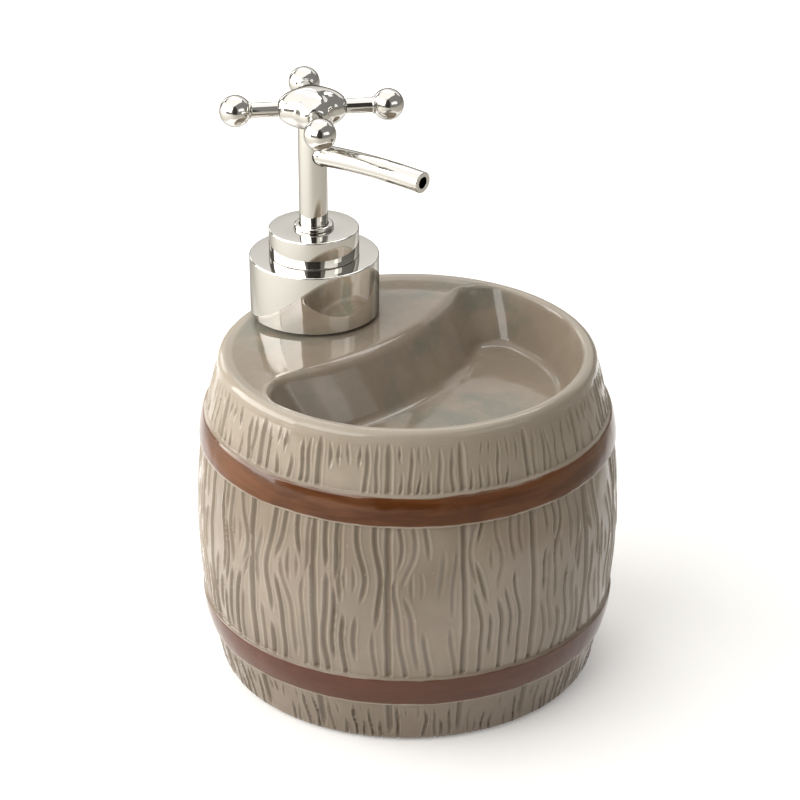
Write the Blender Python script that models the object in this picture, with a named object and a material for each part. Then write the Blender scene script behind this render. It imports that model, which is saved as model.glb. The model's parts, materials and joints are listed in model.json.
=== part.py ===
"""Soap dispenser: a glazed ceramic barrel with a sponge well, and a lift pump with a cross-handle tap head.

Sizes below are in millimetres, and the scene is in metres. The origin is at the centre of the barrel's
base, +Z is up, the pump stands on the -X side, and the spout points over the well towards +X.
"""

import math

import bmesh
import bpy
from mathutils import Matrix, Vector

MM = 0.001
GAP = 0.3  # clearance between pieces that touch

# Ceramic barrel
BELLY_R = 60.1
BELLY_Z = 46.0
SIDE_ARC_R = 161.0  # radius of the arc that the barrel's side follows
FOOT_RING_IN, FOOT_RING_OUT = 44.5, 50.8
FOOT_RECESS = 1.2
FOOT_ROUND = 2.4
BANDS = ((14.0, 23.9), (70.0, 79.3))  # lower and upper edge of each raised band
BAND_RELIEF = 1.25
CREST_R, CREST_Z = 50.6, 95.5  # top of the rim
SHOULDER_Z = 92.9  # where the side turns into the rim
PLATFORM_Z = 96.7
PLATFORM_BLEND = 18.0  # radial length over which the platform falls to the rim
WALL = 5.0
BARREL_STEPS = 48

# Sponge well: a D-shaped recess between the rim and a curved divider
WELL_FLOOR_Z = 80.5
WELL_WALL_R = 50.2
DIVIDER_X, DIVIDER_ARC_R = -7.3, 95.0
DIVIDER_FOOT_ARC_R = 75.0
WELL_CORNER_R, WELL_CORNER_FLOOR_R = 10.0, 6.0
WELL_FLOOR_MIDDLE_X = 17.0
# convex radius, concave radius and slope in degrees of the wall's and the divider's section
WALL_SECTION = (1.3, 3.5, 70.5)
DIVIDER_SECTION = (5.0, 4.0, 60.0)

# Reservoir and mouth
RESERVOIR_FLOOR_Z = 5.5
RESERVOIR_TOP_Z = WELL_FLOOR_Z - WALL
TOWER_R, TOWER_X, TOWER_ARC_R = 47.5, -12.5, 100.0
TOWER_TOP_Z = PLATFORM_Z - WALL
PUMP_X = -34.35
MOUTH_R = 13.5

# Threaded neck insert
INSERT_FLANGE_R, INSERT_FLANGE_T = 15.8, 1.3
INSERT_BOTTOM_Z = 88.0
NECK_R, NECK_BORE_R, NECK_TOP_Z = 12.4, 10.8, 109.0
THREAD_R, THREAD_PITCH, THREAD_TURNS = 13.5, 4.2, 1.6

# Large chrome closure
CLOSURE_R, CLOSURE_SKIN = 18.45, 0.9
CLOSURE_Z, CLOSURE_TOP_Z = 97.6, 114.8
CLOSURE_HOLE_R = 9.2
CLOSURE_BEVEL = 0.5
RING_BORE_R, RING_HOLE_R = 13.9, 9.4

# Pump housing, dip tube and inlet valve
FLANGE_R = 12.3
FLANGE_Z, FLANGE_TOP_Z = 110.6, 112.2
HOUSING_R, CHAMBER_R = 6.6, 5.6
LEDGE_Z = 65.1
BALL_R, BALL_CHAMBER_R = 2.0, 2.5
SEAT_R, SEAT_Z = 1.5, 60.8
SOCKET_R, SOCKET_BORE_R = 4.2, 2.9
SOCKET_Z, SOCKET_TOP_Z = 50.0, 58.6
DIP_R, DIP_BORE_R, DIP_Z = 2.6, 1.9, 9.0
VENT_R, VENT_Z = 0.6, 106.0

# Chaplet, small chrome collar and guide ring
PLUG_R, PLUG_Z = 5.3, 103.5
STEM_BORE_R = 4.35
CHAPLET_R, CHAPLET_FLANGE_R, CHAPLET_TOP_Z = 8.9, 11.6, 121.8
COLLAR_R, COLLAR_SKIN, COLLAR_TOP_Z = 12.8, 0.8, 122.9
GUIDE_R, GUIDE_LIP_R, GUIDE_Z, GUIDE_TOP_Z = 5.05, 5.6, 119.5, 124.1

# Plunger
ROD_R, ROD_BORE_R, ROD_TOP_Z = 2.1, 1.2, 134.0
ROD_Z, ROD_SHOULDER_R, ROD_SHOULDER_Z = 91.6, 3.2, 112.5
ROD_STOP_R, ROD_STOP_Z = 4.9, 100.3
PORT_R, PORT_Z = 0.8, 95.2
PISTON_R, PISTON_Z, PISTON_TOP_Z = 5.35, 94.2, 99.8
FOOT_R, FOOT_Z, FOOT_TOP_Z = 3.6, 89.3, 93.7
SPRING_R, SPRING_WIRE_R, SPRING_TURNS = 3.7, 0.45, 6.0
SPRING_Z, SPRING_TOP_Z = 67.15, 88.5

# Head: stem, spout and cross handle
STEM_R, STEM_WALL, STEM_Z, STEM_TOP_Z = 4.05, 1.65, 112.8, 155.6
SPOUT_R, SPOUT_BORE_R = 3.0, 1.65
SPOUT_Z, SPOUT_ROOT, SPOUT_REACH = 145.25, 3.0, 39.7
SPOUT_RISE, SPOUT_DROP = 6.0, 3.0  # degrees up at the stem and down at the tip
HUB_Z, HUB_LOBE_LENGTH, HUB_LOBE_R = 158.3, 10.05, 6.0
HUB_NECK_END = 9.3
ARM_R, TENON_R, BALL_KNOB_R, ARM_REACH = 2.1, 1.2, 4.45, 21.2
ARM_RING_R, ARM_RING_AT = 2.5, 17.0
ARM_SQUARE_ANGLES = {"front_left": 45, "rear_left": 135, "rear_right": -135, "front_right": -45}
HANDLE_SET = 2.3  # degrees that the handle stands past square to the spout
ARM_ANGLES = {name: angle + HANDLE_SET for name, angle in ARM_SQUARE_ANGLES.items()}

PUMP_AT = (PUMP_X, 0.0, 0.0)


def clear_scene():
    for item in list(bpy.data.objects):
        bpy.data.objects.remove(item, do_unlink=True)


def make_material(name, colour, roughness, metallic=0.0, alpha=1.0):
    material = bpy.data.materials.new(name)
    material.use_nodes = True
    shader = material.node_tree.nodes["Principled BSDF"]
    shader.inputs["Base Color"].default_value = (*colour, 1.0)
    shader.inputs["Roughness"].default_value = roughness
    shader.inputs["Metallic"].default_value = metallic
    shader.inputs["Alpha"].default_value = alpha
    material.diffuse_color = (*colour, alpha)
    return material


def make_object(name, bm, material, at=(0.0, 0.0, 0.0), parent=None):
    """An object from a bmesh in millimetres about the point 'at', with outward faces and smooth shading."""
    bmesh.ops.remove_doubles(bm, verts=bm.verts, dist=1e-4)
    bmesh.ops.recalc_face_normals(bm, faces=bm.faces)
    if bm.calc_volume(signed=True) < 0:
        bmesh.ops.reverse_faces(bm, faces=bm.faces)
    bmesh.ops.scale(bm, vec=(MM, MM, MM), verts=bm.verts)
    mesh = bpy.data.meshes.new(name)
    bm.to_mesh(mesh)
    bm.free()
    mesh.shade_smooth()
    mesh.set_sharp_from_angle(angle=math.radians(35))
    mesh.materials.append(material)
    item = bpy.data.objects.new(name, mesh)
    item.location = Vector(at) * MM
    bpy.context.collection.objects.link(item)
    if parent:
        item.parent = parent
        item.location -= parent.location
    return item


def make_pivot(name, at):
    """An empty on a joint's axis, which the pieces that move together hang from."""
    pivot = bpy.data.objects.new(name, None)
    pivot.empty_display_size = 0.01
    pivot.location = Vector(at) * MM
    bpy.context.collection.objects.link(pivot)
    return pivot


def hide_cutter(cutter):
    cutter.hide_render = True
    cutter.display_type = "WIRE"


def add_boolean(target, cutter, operation="DIFFERENCE"):
    hide_cutter(cutter)
    modifier = target.modifiers.new(operation.lower(), "BOOLEAN")
    modifier.operation = operation
    modifier.object = cutter


def arc(centre_r, centre_z, radius, start, end, steps):
    """Points on an arc in the (r, z) plane, from one angle to another in degrees."""
    points = []
    for i in range(steps + 1):
        angle = math.radians(start + (end - start) * i / steps)
        points.append((centre_r + radius * math.cos(angle), centre_z + radius * math.sin(angle)))
    return points


def spin_profile(profile, steps):
    """A bmesh turned about Z from (r, z) points. A profile with both ends on the axis stays open there."""
    bm = bmesh.new()
    verts = [bm.verts.new((r, 0.0, z)) for r, z in profile]
    edges = [bm.edges.new(pair) for pair in zip(verts, verts[1:])]
    on_axis = profile[0][0] == 0 and profile[-1][0] == 0
    if not on_axis:
        edges.append(bm.edges.new((verts[-1], verts[0])))
    bmesh.ops.spin(
        bm,
        geom=verts + edges,
        cent=(0, 0, 0),
        axis=(0, 0, 1),
        angle=math.tau,
        steps=steps,
        use_merge=True,
    )
    return bm


def turned(name, profile, material, steps=28, at=PUMP_AT, parent=None):
    return make_object(name, spin_profile(profile, steps), material, at, parent)


def sheath(bore_r, outer_r, low_z, high_z, bevel=0.0):
    """The (r, z) section of a plain tube, with its outer edges bevelled."""
    return [
        (bore_r, low_z),
        (outer_r - bevel, low_z),
        *([(outer_r, low_z + bevel)] if bevel else []),
        *([(outer_r, high_z - bevel)] if bevel else []),
        (outer_r - bevel, high_z),
        (bore_r, high_z),
    ]


def cross_cutter(name, radius, start, end, parent=None):
    """A cylinder between two points given in millimetres."""
    bm = bmesh.new()
    length = (Vector(end) - Vector(start)).length
    bmesh.ops.create_cone(
        bm, cap_ends=True, segments=16, radius1=radius, radius2=radius, depth=length
    )
    direction = (Vector(end) - Vector(start)).to_track_quat("Z", "Y").to_matrix().to_4x4()
    bmesh.ops.transform(bm, matrix=direction, verts=bm.verts)
    middle = (Vector(start) + Vector(end)) / 2
    cutter = make_object(name, bm, CUTTER, middle, parent)
    hide_cutter(cutter)
    return cutter


# ---------------------------------------------------------------- ceramic barrel


def side_radius(z):
    """The barrel's side without its bands: an arc about the belly."""
    return BELLY_R - SIDE_ARC_R + math.sqrt(SIDE_ARC_R**2 - (z - BELLY_Z) ** 2)


def band_relief(z):
    """How far a raised band stands proud at a height: a low arch between steep edges."""
    for low, high in BANDS:
        if low < z < high:
            across = abs(2 * (z - low) / (high - low) - 1)
            return BAND_RELIEF * (1 - 0.35 * across**2)
    return 0.0


def side_heights():
    """Heights of the rings up the side, with a pair of rings at each band edge."""
    heights = [4.5, 9.0]
    for low, high in BANDS:
        heights += [low - 0.3, low + 0.3, (3 * low + high) / 4, (low + high) / 2]
        heights += [(low + 3 * high) / 4, high - 0.3, high + 0.3]
    staves_low, staves_high = BANDS[0][1], BANDS[1][0]
    heights += [staves_low + (staves_high - staves_low) * i / 6 for i in range(1, 6)]
    heights += [84.0, 88.5, SHOULDER_Z]
    return sorted(heights)


def circle_ring(radius, z):
    angles = [math.tau * i / BARREL_STEPS for i in range(BARREL_STEPS)]
    return [(radius * math.cos(a), radius * math.sin(a), z) for a in angles]


def smoothstep(t):
    t = min(max(t, 0.0), 1.0)
    return t * t * (3 - 2 * t)


def platform_height(x, y):
    """The top surface outside the well: level round the pump, falling to the rim's crest."""
    inward = (CREST_R - math.hypot(x, y)) / PLATFORM_BLEND
    return CREST_Z + (PLATFORM_Z - CREST_Z) * smoothstep(inward)


def well_outline(theta, wall_r, divider_x, divider_r, corner_r):
    """The point of a D-shaped outline in the barrel's direction theta, and its share of divider.

    The outline is an arc about the barrel's axis, a divider arc that bulges into the well, and a
    fillet of corner_r between them. Past the wall's arc, theta runs along the outline's length.
    """
    centre = divider_r - divider_x
    inner = wall_r - corner_r
    outer = divider_r + corner_r
    fillet_x = (outer**2 - inner**2 - centre**2) / (2 * centre)
    fillet_y = math.sqrt(inner**2 - fillet_x**2)
    wall_end = math.atan2(fillet_y, fillet_x)
    divider_end = math.asin(fillet_y / outer)
    fillet_sweep = math.pi + divider_end - wall_end
    turn = math.atan2(math.sin(theta), math.cos(theta))
    side = 1.0 if turn >= 0 else -1.0
    turn = abs(turn)
    if turn <= wall_end:
        return wall_r * math.cos(turn), side * wall_r * math.sin(turn), 0.0
    fillet_length = corner_r * fillet_sweep
    whole = fillet_length + divider_r * divider_end
    run = whole * (turn - wall_end) / (math.pi - wall_end)
    if run < fillet_length:
        angle = wall_end + run / corner_r
        x = fillet_x + corner_r * math.cos(angle)
        y = fillet_y + corner_r * math.sin(angle)
        return x, side * y, smoothstep(run / fillet_length)
    angle = divider_end * (whole - run) / (whole - fillet_length)
    return divider_r * math.cos(angle) - centre, side * divider_r * math.sin(angle), 1.0


def section_points(section, drop):
    """A wall's section as (inward, fallen): convex arc, straight slope, concave arc."""
    top_r, foot_r, slope = section
    slope = math.radians(slope)
    straight = (drop - (top_r + foot_r) * (1 - math.cos(slope))) / math.sin(slope)
    points = []
    for share in (0.0, 0.35, 0.7, 1.0):
        points.append((top_r * math.sin(share * slope), top_r * (1 - math.cos(share * slope))))
    start = points[-1]
    end = (start[0] + straight * math.cos(slope), start[1] + straight * math.sin(slope))
    points += [((start[0] + end[0]) / 2, (start[1] + end[1]) / 2), end]
    for share in (0.67, 0.33, 0.0):
        inward = end[0] + foot_r * (math.sin(slope) - math.sin(share * slope))
        fallen = end[1] + foot_r * (math.cos(share * slope) - math.cos(slope))
        points.append((inward, fallen))
    return points


def well_rings():
    """Rings from the edge of the platform down the well's walls to its floor."""
    wall = section_points(WALL_SECTION, CREST_Z - WELL_FLOOR_Z)
    divider = section_points(DIVIDER_SECTION, PLATFORM_Z - WELL_FLOOR_Z)
    rings = []
    for i, ((wall_in, wall_fall), (div_in, div_fall)) in enumerate(zip(wall, divider)):
        share = i / (len(wall) - 1)
        arc_r = DIVIDER_ARC_R + (DIVIDER_FOOT_ARC_R - DIVIDER_ARC_R) * share
        corner = WELL_CORNER_R + (WELL_CORNER_FLOOR_R - WELL_CORNER_R) * share
        ring = []
        for k in range(BARREL_STEPS):
            theta = math.tau * k / BARREL_STEPS
            x, y, mix = well_outline(theta, WELL_WALL_R - wall_in, DIVIDER_X + div_in, arc_r, corner)
            top = platform_height(x, y) if i == 0 else None
            fallen_to = WELL_FLOOR_Z + (1 - mix) * (CREST_Z - WELL_FLOOR_Z - wall_fall)
            fallen_to += mix * (PLATFORM_Z - WELL_FLOOR_Z - div_fall)
            ring.append((x, y, fallen_to if top is None else top))
        rings.append(ring)
    return rings


def platform_rings(edge):
    """Rings between the rim's crest and the platform's edge over the well."""
    rings = []
    for share in (0.08, 0.3, 0.6, 0.85):
        ring = []
        for (cx, cy, _), (ex, ey, _) in zip(circle_ring(CREST_R, CREST_Z), edge):
            x, y = cx + (ex - cx) * share, cy + (ey - cy) * share
            ring.append((x, y, platform_height(x, y)))
        rings.append(ring)
    return rings


def loft(rings, bottom, top):
    """A closed bmesh through rings of equal length, closed by a point at each end."""
    bm = bmesh.new()
    loops = [[bm.verts.new(p) for p in ring] for ring in rings]
    for low, high in zip(loops, loops[1:]):
        for i in range(len(low)):
            j = (i + 1) % len(low)
            bm.faces.new((low[i], low[j], high[j], high[i]))
    for loop, point in ((loops[0], bottom), (loops[-1], top)):
        pole = bm.verts.new(point)
        for i in range(len(loop)):
            bm.faces.new((loop[i], loop[(i + 1) % len(loop)], pole))
    return bm


def barrel_rings():
    foot = [
        circle_ring(FOOT_RING_IN - 1.5, FOOT_RECESS),
        circle_ring(FOOT_RING_IN, 0.0),
        circle_ring(FOOT_RING_OUT, 0.0),
    ]
    foot_edge = side_radius(FOOT_ROUND)
    for angle in (30, 60, 90):
        share = math.radians(angle)
        radius = FOOT_RING_OUT + (foot_edge - FOOT_RING_OUT) * math.sin(share)
        foot.append(circle_ring(radius, FOOT_ROUND * (1 - math.cos(share))))
    side = [circle_ring(side_radius(z) + band_relief(z), z) for z in side_heights()]
    shoulder_r = side_radius(SHOULDER_Z)
    rim = []
    for angle in (25, 50, 70, 90):
        share = math.radians(angle)
        radius = CREST_R + (shoulder_r - CREST_R) * math.cos(share)
        rim.append(circle_ring(radius, SHOULDER_Z + (CREST_Z - SHOULDER_Z) * math.sin(share)))
    well = well_rings()
    return foot + side + rim + platform_rings(well[0]) + well


def make_barrel():
    bm = loft(barrel_rings(), (0, 0, FOOT_RECESS), (WELL_FLOOR_MIDDLE_X, 0, WELL_FLOOR_Z))
    barrel = make_object("barrel_body", bm, GLAZE)
    add_boolean(barrel, reservoir_cutter())
    add_boolean(barrel, tower_cutter())
    mouth = cross_cutter("mouth_cutter", MOUTH_R, (PUMP_X, 0, 80), (PUMP_X, 0, 104))
    add_boolean(barrel, mouth)


def reservoir_cutter():
    """The main hollow, under the well."""
    heights = [RESERVOIR_FLOOR_Z + 2.5] + [20, 34, 46, 58, RESERVOIR_TOP_Z - 2.5]
    profile = [(0.0, RESERVOIR_FLOOR_Z), (side_radius(10) - WALL - 3, RESERVOIR_FLOOR_Z)]
    profile += [(side_radius(z) - WALL, z) for z in heights]
    profile += [(side_radius(70) - WALL - 2.5, RESERVOIR_TOP_Z), (0.0, RESERVOIR_TOP_Z)]
    return turned("reservoir_cutter", profile, CUTTER, 36, (0, 0, 0))


def tower_cutter():
    """The hollow's upper part behind the divider, under the platform."""
    centre = TOWER_ARC_R - TOWER_X
    meet_x = (TOWER_ARC_R**2 - TOWER_R**2 - centre**2) / (2 * centre)
    meet = math.acos(meet_x / TOWER_R)
    back = [meet + (math.tau - 2 * meet) * i / 20 for i in range(21)]
    outline = [(TOWER_R * math.cos(a), TOWER_R * math.sin(a)) for a in back]
    half = math.asin(TOWER_R * math.sin(meet) / TOWER_ARC_R)
    for i in range(1, 8):
        angle = -half + 2 * half * i / 8
        outline.append((TOWER_ARC_R * math.cos(angle) - centre, TOWER_ARC_R * math.sin(angle)))
    bm = bmesh.new()
    face = bm.faces.new([bm.verts.new((x, y, RESERVOIR_TOP_Z - 3)) for x, y in outline])
    lifted = bmesh.ops.extrude_face_region(bm, geom=[face])["geom"]
    rise = TOWER_TOP_Z - RESERVOIR_TOP_Z + 3
    moved = [item for item in lifted if isinstance(item, bmesh.types.BMVert)]
    bmesh.ops.translate(bm, vec=(0, 0, rise), verts=moved)
    return make_object("tower_cutter", bm, CUTTER)


def make_neck_insert():
    """The threaded plastic neck bonded into the mouth."""
    flange_z = PLATFORM_Z + GAP
    flange_top = flange_z + INSERT_FLANGE_T
    sleeve_r = MOUTH_R - GAP
    profile = [
        (NECK_BORE_R, INSERT_BOTTOM_Z),
        (sleeve_r, INSERT_BOTTOM_Z),
        (sleeve_r, flange_z),
        (INSERT_FLANGE_R, flange_z),
        (INSERT_FLANGE_R, flange_top),
        (NECK_R, flange_top),
        (NECK_R, NECK_TOP_Z),
        (NECK_BORE_R, NECK_TOP_Z),
    ]
    neck = turned("neck_insert", profile, WHITE_PLASTIC)
    add_boolean(neck, thread_ridge(flange_top + 2.0), "UNION")


def thread_ridge(start_z):
    """One helical ridge that stands on the neck and fades in and out at its ends."""
    per_turn = 20
    count = int(per_turn * THREAD_TURNS)
    bm = bmesh.new()
    loops = []
    for i in range(count + 1):
        angle = math.tau * i / per_turn
        z = start_z + THREAD_PITCH * i / per_turn
        fade = min(1.0, 0.3 + i / 5, 0.3 + (count - i) / 5)
        crest = NECK_R + (THREAD_R - NECK_R) * fade
        section = ((NECK_R - 0.5, -0.9), (crest, -0.35), (crest, 0.35), (NECK_R - 0.5, 0.9))
        turn = Matrix.Rotation(angle, 3, "Z")
        loops.append([bm.verts.new(turn @ Vector((r, 0, z + dz))) for r, dz in section])
    for low, high in zip(loops, loops[1:]):
        for k in range(4):
            n = (k + 1) % 4
            bm.faces.new((low[k], low[n], high[n], high[k]))
    bm.faces.new(loops[0])
    bm.faces.new(loops[-1])
    return make_object("thread_ridge", bm, CUTTER, PUMP_AT)


# ---------------------------------------------------------------- closure


def skirted_cap(outer_r, skin, low_z, top_z, hole_r, bevel):
    """The section of a thin metal cap with a hole in its top."""
    inner_r = outer_r - skin
    return [
        (inner_r, low_z),
        (outer_r - 0.2, low_z),
        (outer_r, low_z + 0.2),
        (outer_r, top_z - bevel),
        (outer_r - bevel * 0.3, top_z - bevel * 0.3),
        (outer_r - bevel, top_z),
        (hole_r, top_z),
        (hole_r, top_z - skin),
        (inner_r, top_z - skin),
    ]


def make_closure(pivot):
    cap = skirted_cap(
        CLOSURE_R, CLOSURE_SKIN, CLOSURE_Z, CLOSURE_TOP_Z, CLOSURE_HOLE_R, CLOSURE_BEVEL
    )
    turned("closure_shell", cap, CHROME, 40, parent=pivot)
    ring_r = CLOSURE_R - CLOSURE_SKIN - GAP
    top = CLOSURE_TOP_Z - CLOSURE_SKIN - GAP
    profile = [
        (RING_BORE_R, PLATFORM_Z + INSERT_FLANGE_T + 2 * GAP),
        (ring_r, PLATFORM_Z + INSERT_FLANGE_T + 2 * GAP),
        (ring_r, top),
        (RING_HOLE_R, top),
        (RING_HOLE_R, FLANGE_TOP_Z + GAP),
        (RING_BORE_R, FLANGE_TOP_Z + GAP),
    ]
    turned("closure_thread_ring", profile, WHITE_PLASTIC, parent=pivot)


# ---------------------------------------------------------------- pump cartridge


def make_housing(pivot):
    profile = [
        (CHAMBER_R, LEDGE_Z),
        (CHAMBER_R, FLANGE_TOP_Z),
        (FLANGE_R, FLANGE_TOP_Z),
        (FLANGE_R, FLANGE_Z),
        (HOUSING_R, FLANGE_Z),
        (HOUSING_R, LEDGE_Z - 1.5),
        (SOCKET_R, LEDGE_Z - 5.0),
        (SOCKET_R, SOCKET_Z),
        (SOCKET_BORE_R, SOCKET_Z),
        (SOCKET_BORE_R, SOCKET_TOP_Z),
        (SEAT_R, SOCKET_TOP_Z),
        (SEAT_R, SEAT_Z),
        (BALL_CHAMBER_R, SEAT_Z + 1.0),
        (BALL_CHAMBER_R, LEDGE_Z),
    ]
    housing = turned("pump_housing", profile, NATURAL_PLASTIC, 24, parent=pivot)
    start, end = (PUMP_X, 4.0, VENT_Z), (PUMP_X, 8.0, VENT_Z)
    add_boolean(housing, cross_cutter("vent_cutter", VENT_R, start, end))
    gasket = sheath(HOUSING_R + GAP, FLANGE_R, NECK_TOP_Z + GAP, FLANGE_Z - GAP)
    turned("housing_gasket", gasket, GASKET, 24, parent=pivot)
    dip_tube = sheath(DIP_BORE_R, DIP_R, DIP_Z, SOCKET_TOP_Z - GAP)
    turned("dip_tube", dip_tube, NATURAL_PLASTIC, 16, parent=pivot)
    retainer = sheath(SEAT_R, CHAMBER_R - GAP, LEDGE_Z + GAP, LEDGE_Z + GAP + 1.0)
    turned("ball_retainer", retainer, WHITE_PLASTIC, 20, parent=pivot)


def make_chaplet(pivot):
    """The lock-down nut that closes the housing and guides the stem."""
    foot_z = FLANGE_TOP_Z + GAP
    flange_z = CLOSURE_TOP_Z + GAP
    profile = [
        (STEM_BORE_R, PLUG_Z),
        (PLUG_R, PLUG_Z),
        (PLUG_R, foot_z),
        (CHAPLET_R, foot_z),
        (CHAPLET_R, flange_z),
        (CHAPLET_FLANGE_R, flange_z),
        (CHAPLET_FLANGE_R, flange_z + 2.0),
        (CHAPLET_R, flange_z + 2.0),
        (CHAPLET_R, CHAPLET_TOP_Z),
        (GUIDE_R + GAP, CHAPLET_TOP_Z),
        (GUIDE_R + GAP, GUIDE_Z - GAP),
        (STEM_BORE_R, GUIDE_Z - GAP),
    ]
    turned("chaplet", profile, WHITE_PLASTIC, 24, parent=pivot)
    cap = skirted_cap(
        COLLAR_R, COLLAR_SKIN, CLOSURE_TOP_Z + GAP, COLLAR_TOP_Z, GUIDE_R + GAP, CLOSURE_BEVEL
    )
    turned("upper_collar", cap, CHROME, 36, parent=pivot)
    lip_z = COLLAR_TOP_Z + GAP
    lip_r = (GUIDE_TOP_Z - lip_z) / 2
    ring = [(STEM_BORE_R, GUIDE_Z), (GUIDE_R, GUIDE_Z), (GUIDE_R, lip_z)]
    ring += arc(GUIDE_LIP_R - lip_r, lip_z + lip_r, lip_r, -90, 90, 4)
    ring += [(STEM_BORE_R, GUIDE_TOP_Z)]
    turned("guide_ring", ring, CHROME, 24, parent=pivot)


def make_spring(pivot):
    """The return spring: a helix with two closed end turns."""
    per_turn = 12
    count = int(per_turn * SPRING_TURNS)
    curve = bpy.data.curves.new("return_spring", "CURVE")
    curve.dimensions = "3D"
    curve.bevel_depth = SPRING_WIRE_R * MM
    curve.bevel_resolution = 1
    curve.use_fill_caps = True
    spline = curve.splines.new("POLY")
    spline.points.add(count)
    rise = SPRING_TOP_Z - SPRING_Z
    end_turn = 1.0 / SPRING_TURNS
    wire_step = (2 * SPRING_WIRE_R + 0.15) / rise
    for i, point in enumerate(spline.points):
        share = i / count
        angle = math.tau * SPRING_TURNS * share
        if share < end_turn:
            height = wire_step * share / end_turn
        elif share > 1 - end_turn:
            height = 1 - wire_step * (1 - share) / end_turn
        else:
            height = wire_step + (1 - 2 * wire_step) * (share - end_turn) / (1 - 2 * end_turn)
        place = (SPRING_R * math.cos(angle), SPRING_R * math.sin(angle), SPRING_Z + rise * height)
        point.co = (*(value * MM for value in place), 1.0)
    curve.materials.append(SPRING_STEEL)
    spring = bpy.data.objects.new("return_spring", curve)
    spring.location = Vector(PUMP_AT) * MM
    bpy.context.collection.objects.link(spring)
    spring.parent = pivot
    spring.location -= pivot.location


def make_check_ball(pivot):
    centre_z = SEAT_Z + math.sqrt(BALL_R**2 - SEAT_R**2) + 0.2
    bm = bmesh.new()
    bmesh.ops.create_uvsphere(bm, u_segments=16, v_segments=10, radius=BALL_R)
    make_object("check_ball", bm, STEEL, (PUMP_X, 0, centre_z), pivot)


# ---------------------------------------------------------------- plunger


def make_plunger(pivot):
    bore_end = PORT_Z - PORT_R
    rod = [
        (0.0, ROD_Z),
        (ROD_R, ROD_Z),
        (ROD_R, ROD_STOP_Z),
        (ROD_STOP_R, ROD_STOP_Z),
        (ROD_STOP_R, PLUG_Z - GAP),
        (ROD_SHOULDER_R, PLUG_Z - GAP),
        (ROD_SHOULDER_R, ROD_SHOULDER_Z),
        (ROD_R, ROD_SHOULDER_Z),
        (ROD_R, ROD_TOP_Z),
        (ROD_BORE_R, ROD_TOP_Z),
        (ROD_BORE_R, bore_end),
        (0.0, bore_end),
    ]
    piston_rod = turned("piston_rod", rod, WHITE_PLASTIC, 20, parent=pivot)
    start, end = (PUMP_X, -3.0, PORT_Z), (PUMP_X, 3.0, PORT_Z)
    add_boolean(piston_rod, cross_cutter("port_cutter", PORT_R, start, end))
    bore = ROD_R + GAP
    piston = [
        (bore, PISTON_Z),
        (bore + 0.8, PISTON_Z),
        (bore + 0.8, PISTON_Z + 1.4),
        (PISTON_R - 0.5, PISTON_Z + 0.4),
        (PISTON_R, PISTON_Z),
        (PISTON_R - 0.3, PISTON_Z + 2.4),
        (PISTON_R - 0.3, PISTON_TOP_Z - 2.0),
        (PISTON_R, PISTON_TOP_Z),
        (PISTON_R - 0.5, PISTON_TOP_Z - 0.3),
        (bore + 0.8, PISTON_TOP_Z - 1.4),
        (bore + 0.8, PISTON_TOP_Z),
        (bore, PISTON_TOP_Z),
    ]
    turned("piston", piston, NATURAL_PLASTIC, 20, parent=pivot)
    foot = [
        (0.0, FOOT_Z),
        (FOOT_R - 0.6, FOOT_Z),
        (FOOT_R, FOOT_Z + 1.0),
        (FOOT_R, FOOT_TOP_Z - 0.8),
        (FOOT_R - 0.8, FOOT_TOP_Z),
        (bore, FOOT_TOP_Z),
        (bore, ROD_Z - GAP),
        (0.0, ROD_Z - GAP),
    ]
    turned("piston_foot", foot, WHITE_PLASTIC, 16, parent=pivot)


# ---------------------------------------------------------------- head


def spout_path():
    """Points of the spout's centre line, from the pump's axis, as (reach, z): one even, shallow bend."""
    rise, drop = math.radians(SPOUT_RISE), math.radians(SPOUT_DROP)
    steps = 12
    run = (SPOUT_REACH - SPOUT_ROOT) / steps
    points = [(SPOUT_ROOT, SPOUT_Z + (SPOUT_ROOT - STEM_R) * math.tan(rise))]
    for i in range(steps):
        slope = rise - (rise + drop) * (i + 0.5) / steps
        points.append((points[-1][0] + run, points[-1][1] + run * math.tan(slope)))
    return points


def swept_tube(path, rings, steps=18):
    """A closed bmesh of circles of the given radii along a path in the XZ plane.

    rings is a list of (point index, radius), so a bore runs back along the path inside its tube.
    """
    bm = bmesh.new()
    loops = []
    for index, radius in rings:
        before = Vector((path[max(index - 1, 0)][0], 0, path[max(index - 1, 0)][1]))
        after_at = path[min(index + 1, len(path) - 1)]
        along = (Vector((after_at[0], 0, after_at[1])) - before).normalized()
        up = along.cross(Vector((0, 1, 0))).normalized() * -1
        centre = Vector((path[index][0], 0, path[index][1]))
        loop = []
        for k in range(steps):
            angle = math.tau * k / steps
            offset = Vector((0, 1, 0)) * math.cos(angle) + up * math.sin(angle)
            loop.append(bm.verts.new(centre + offset * radius))
        loops.append(loop)
    for low, high in zip(loops, loops[1:] + loops[:1]):
        for k in range(steps):
            n = (k + 1) % steps
            bm.faces.new((low[k], low[n], high[n], high[k]))
    return bm


def make_stem_and_spout(pivot):
    tube = sheath(STEM_R - STEM_WALL, STEM_R, STEM_Z, STEM_TOP_Z)
    stem = turned("stem_tube", tube, CHROME, 32, parent=pivot)
    rise = math.tan(math.radians(SPOUT_RISE))
    start, end = [(PUMP_X + x, 0, SPOUT_Z + (x - STEM_R) * rise) for x in (0.5, 8.0)]
    add_boolean(stem, cross_cutter("spout_hole_cutter", SPOUT_R + GAP, start, end))
    path = spout_path()
    there = [(i, SPOUT_R) for i in range(len(path))]
    back = [(i, SPOUT_BORE_R) for i in reversed(range(len(path)))]
    make_object("spout", swept_tube(path, there + back), CHROME, PUMP_AT, pivot)


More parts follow.
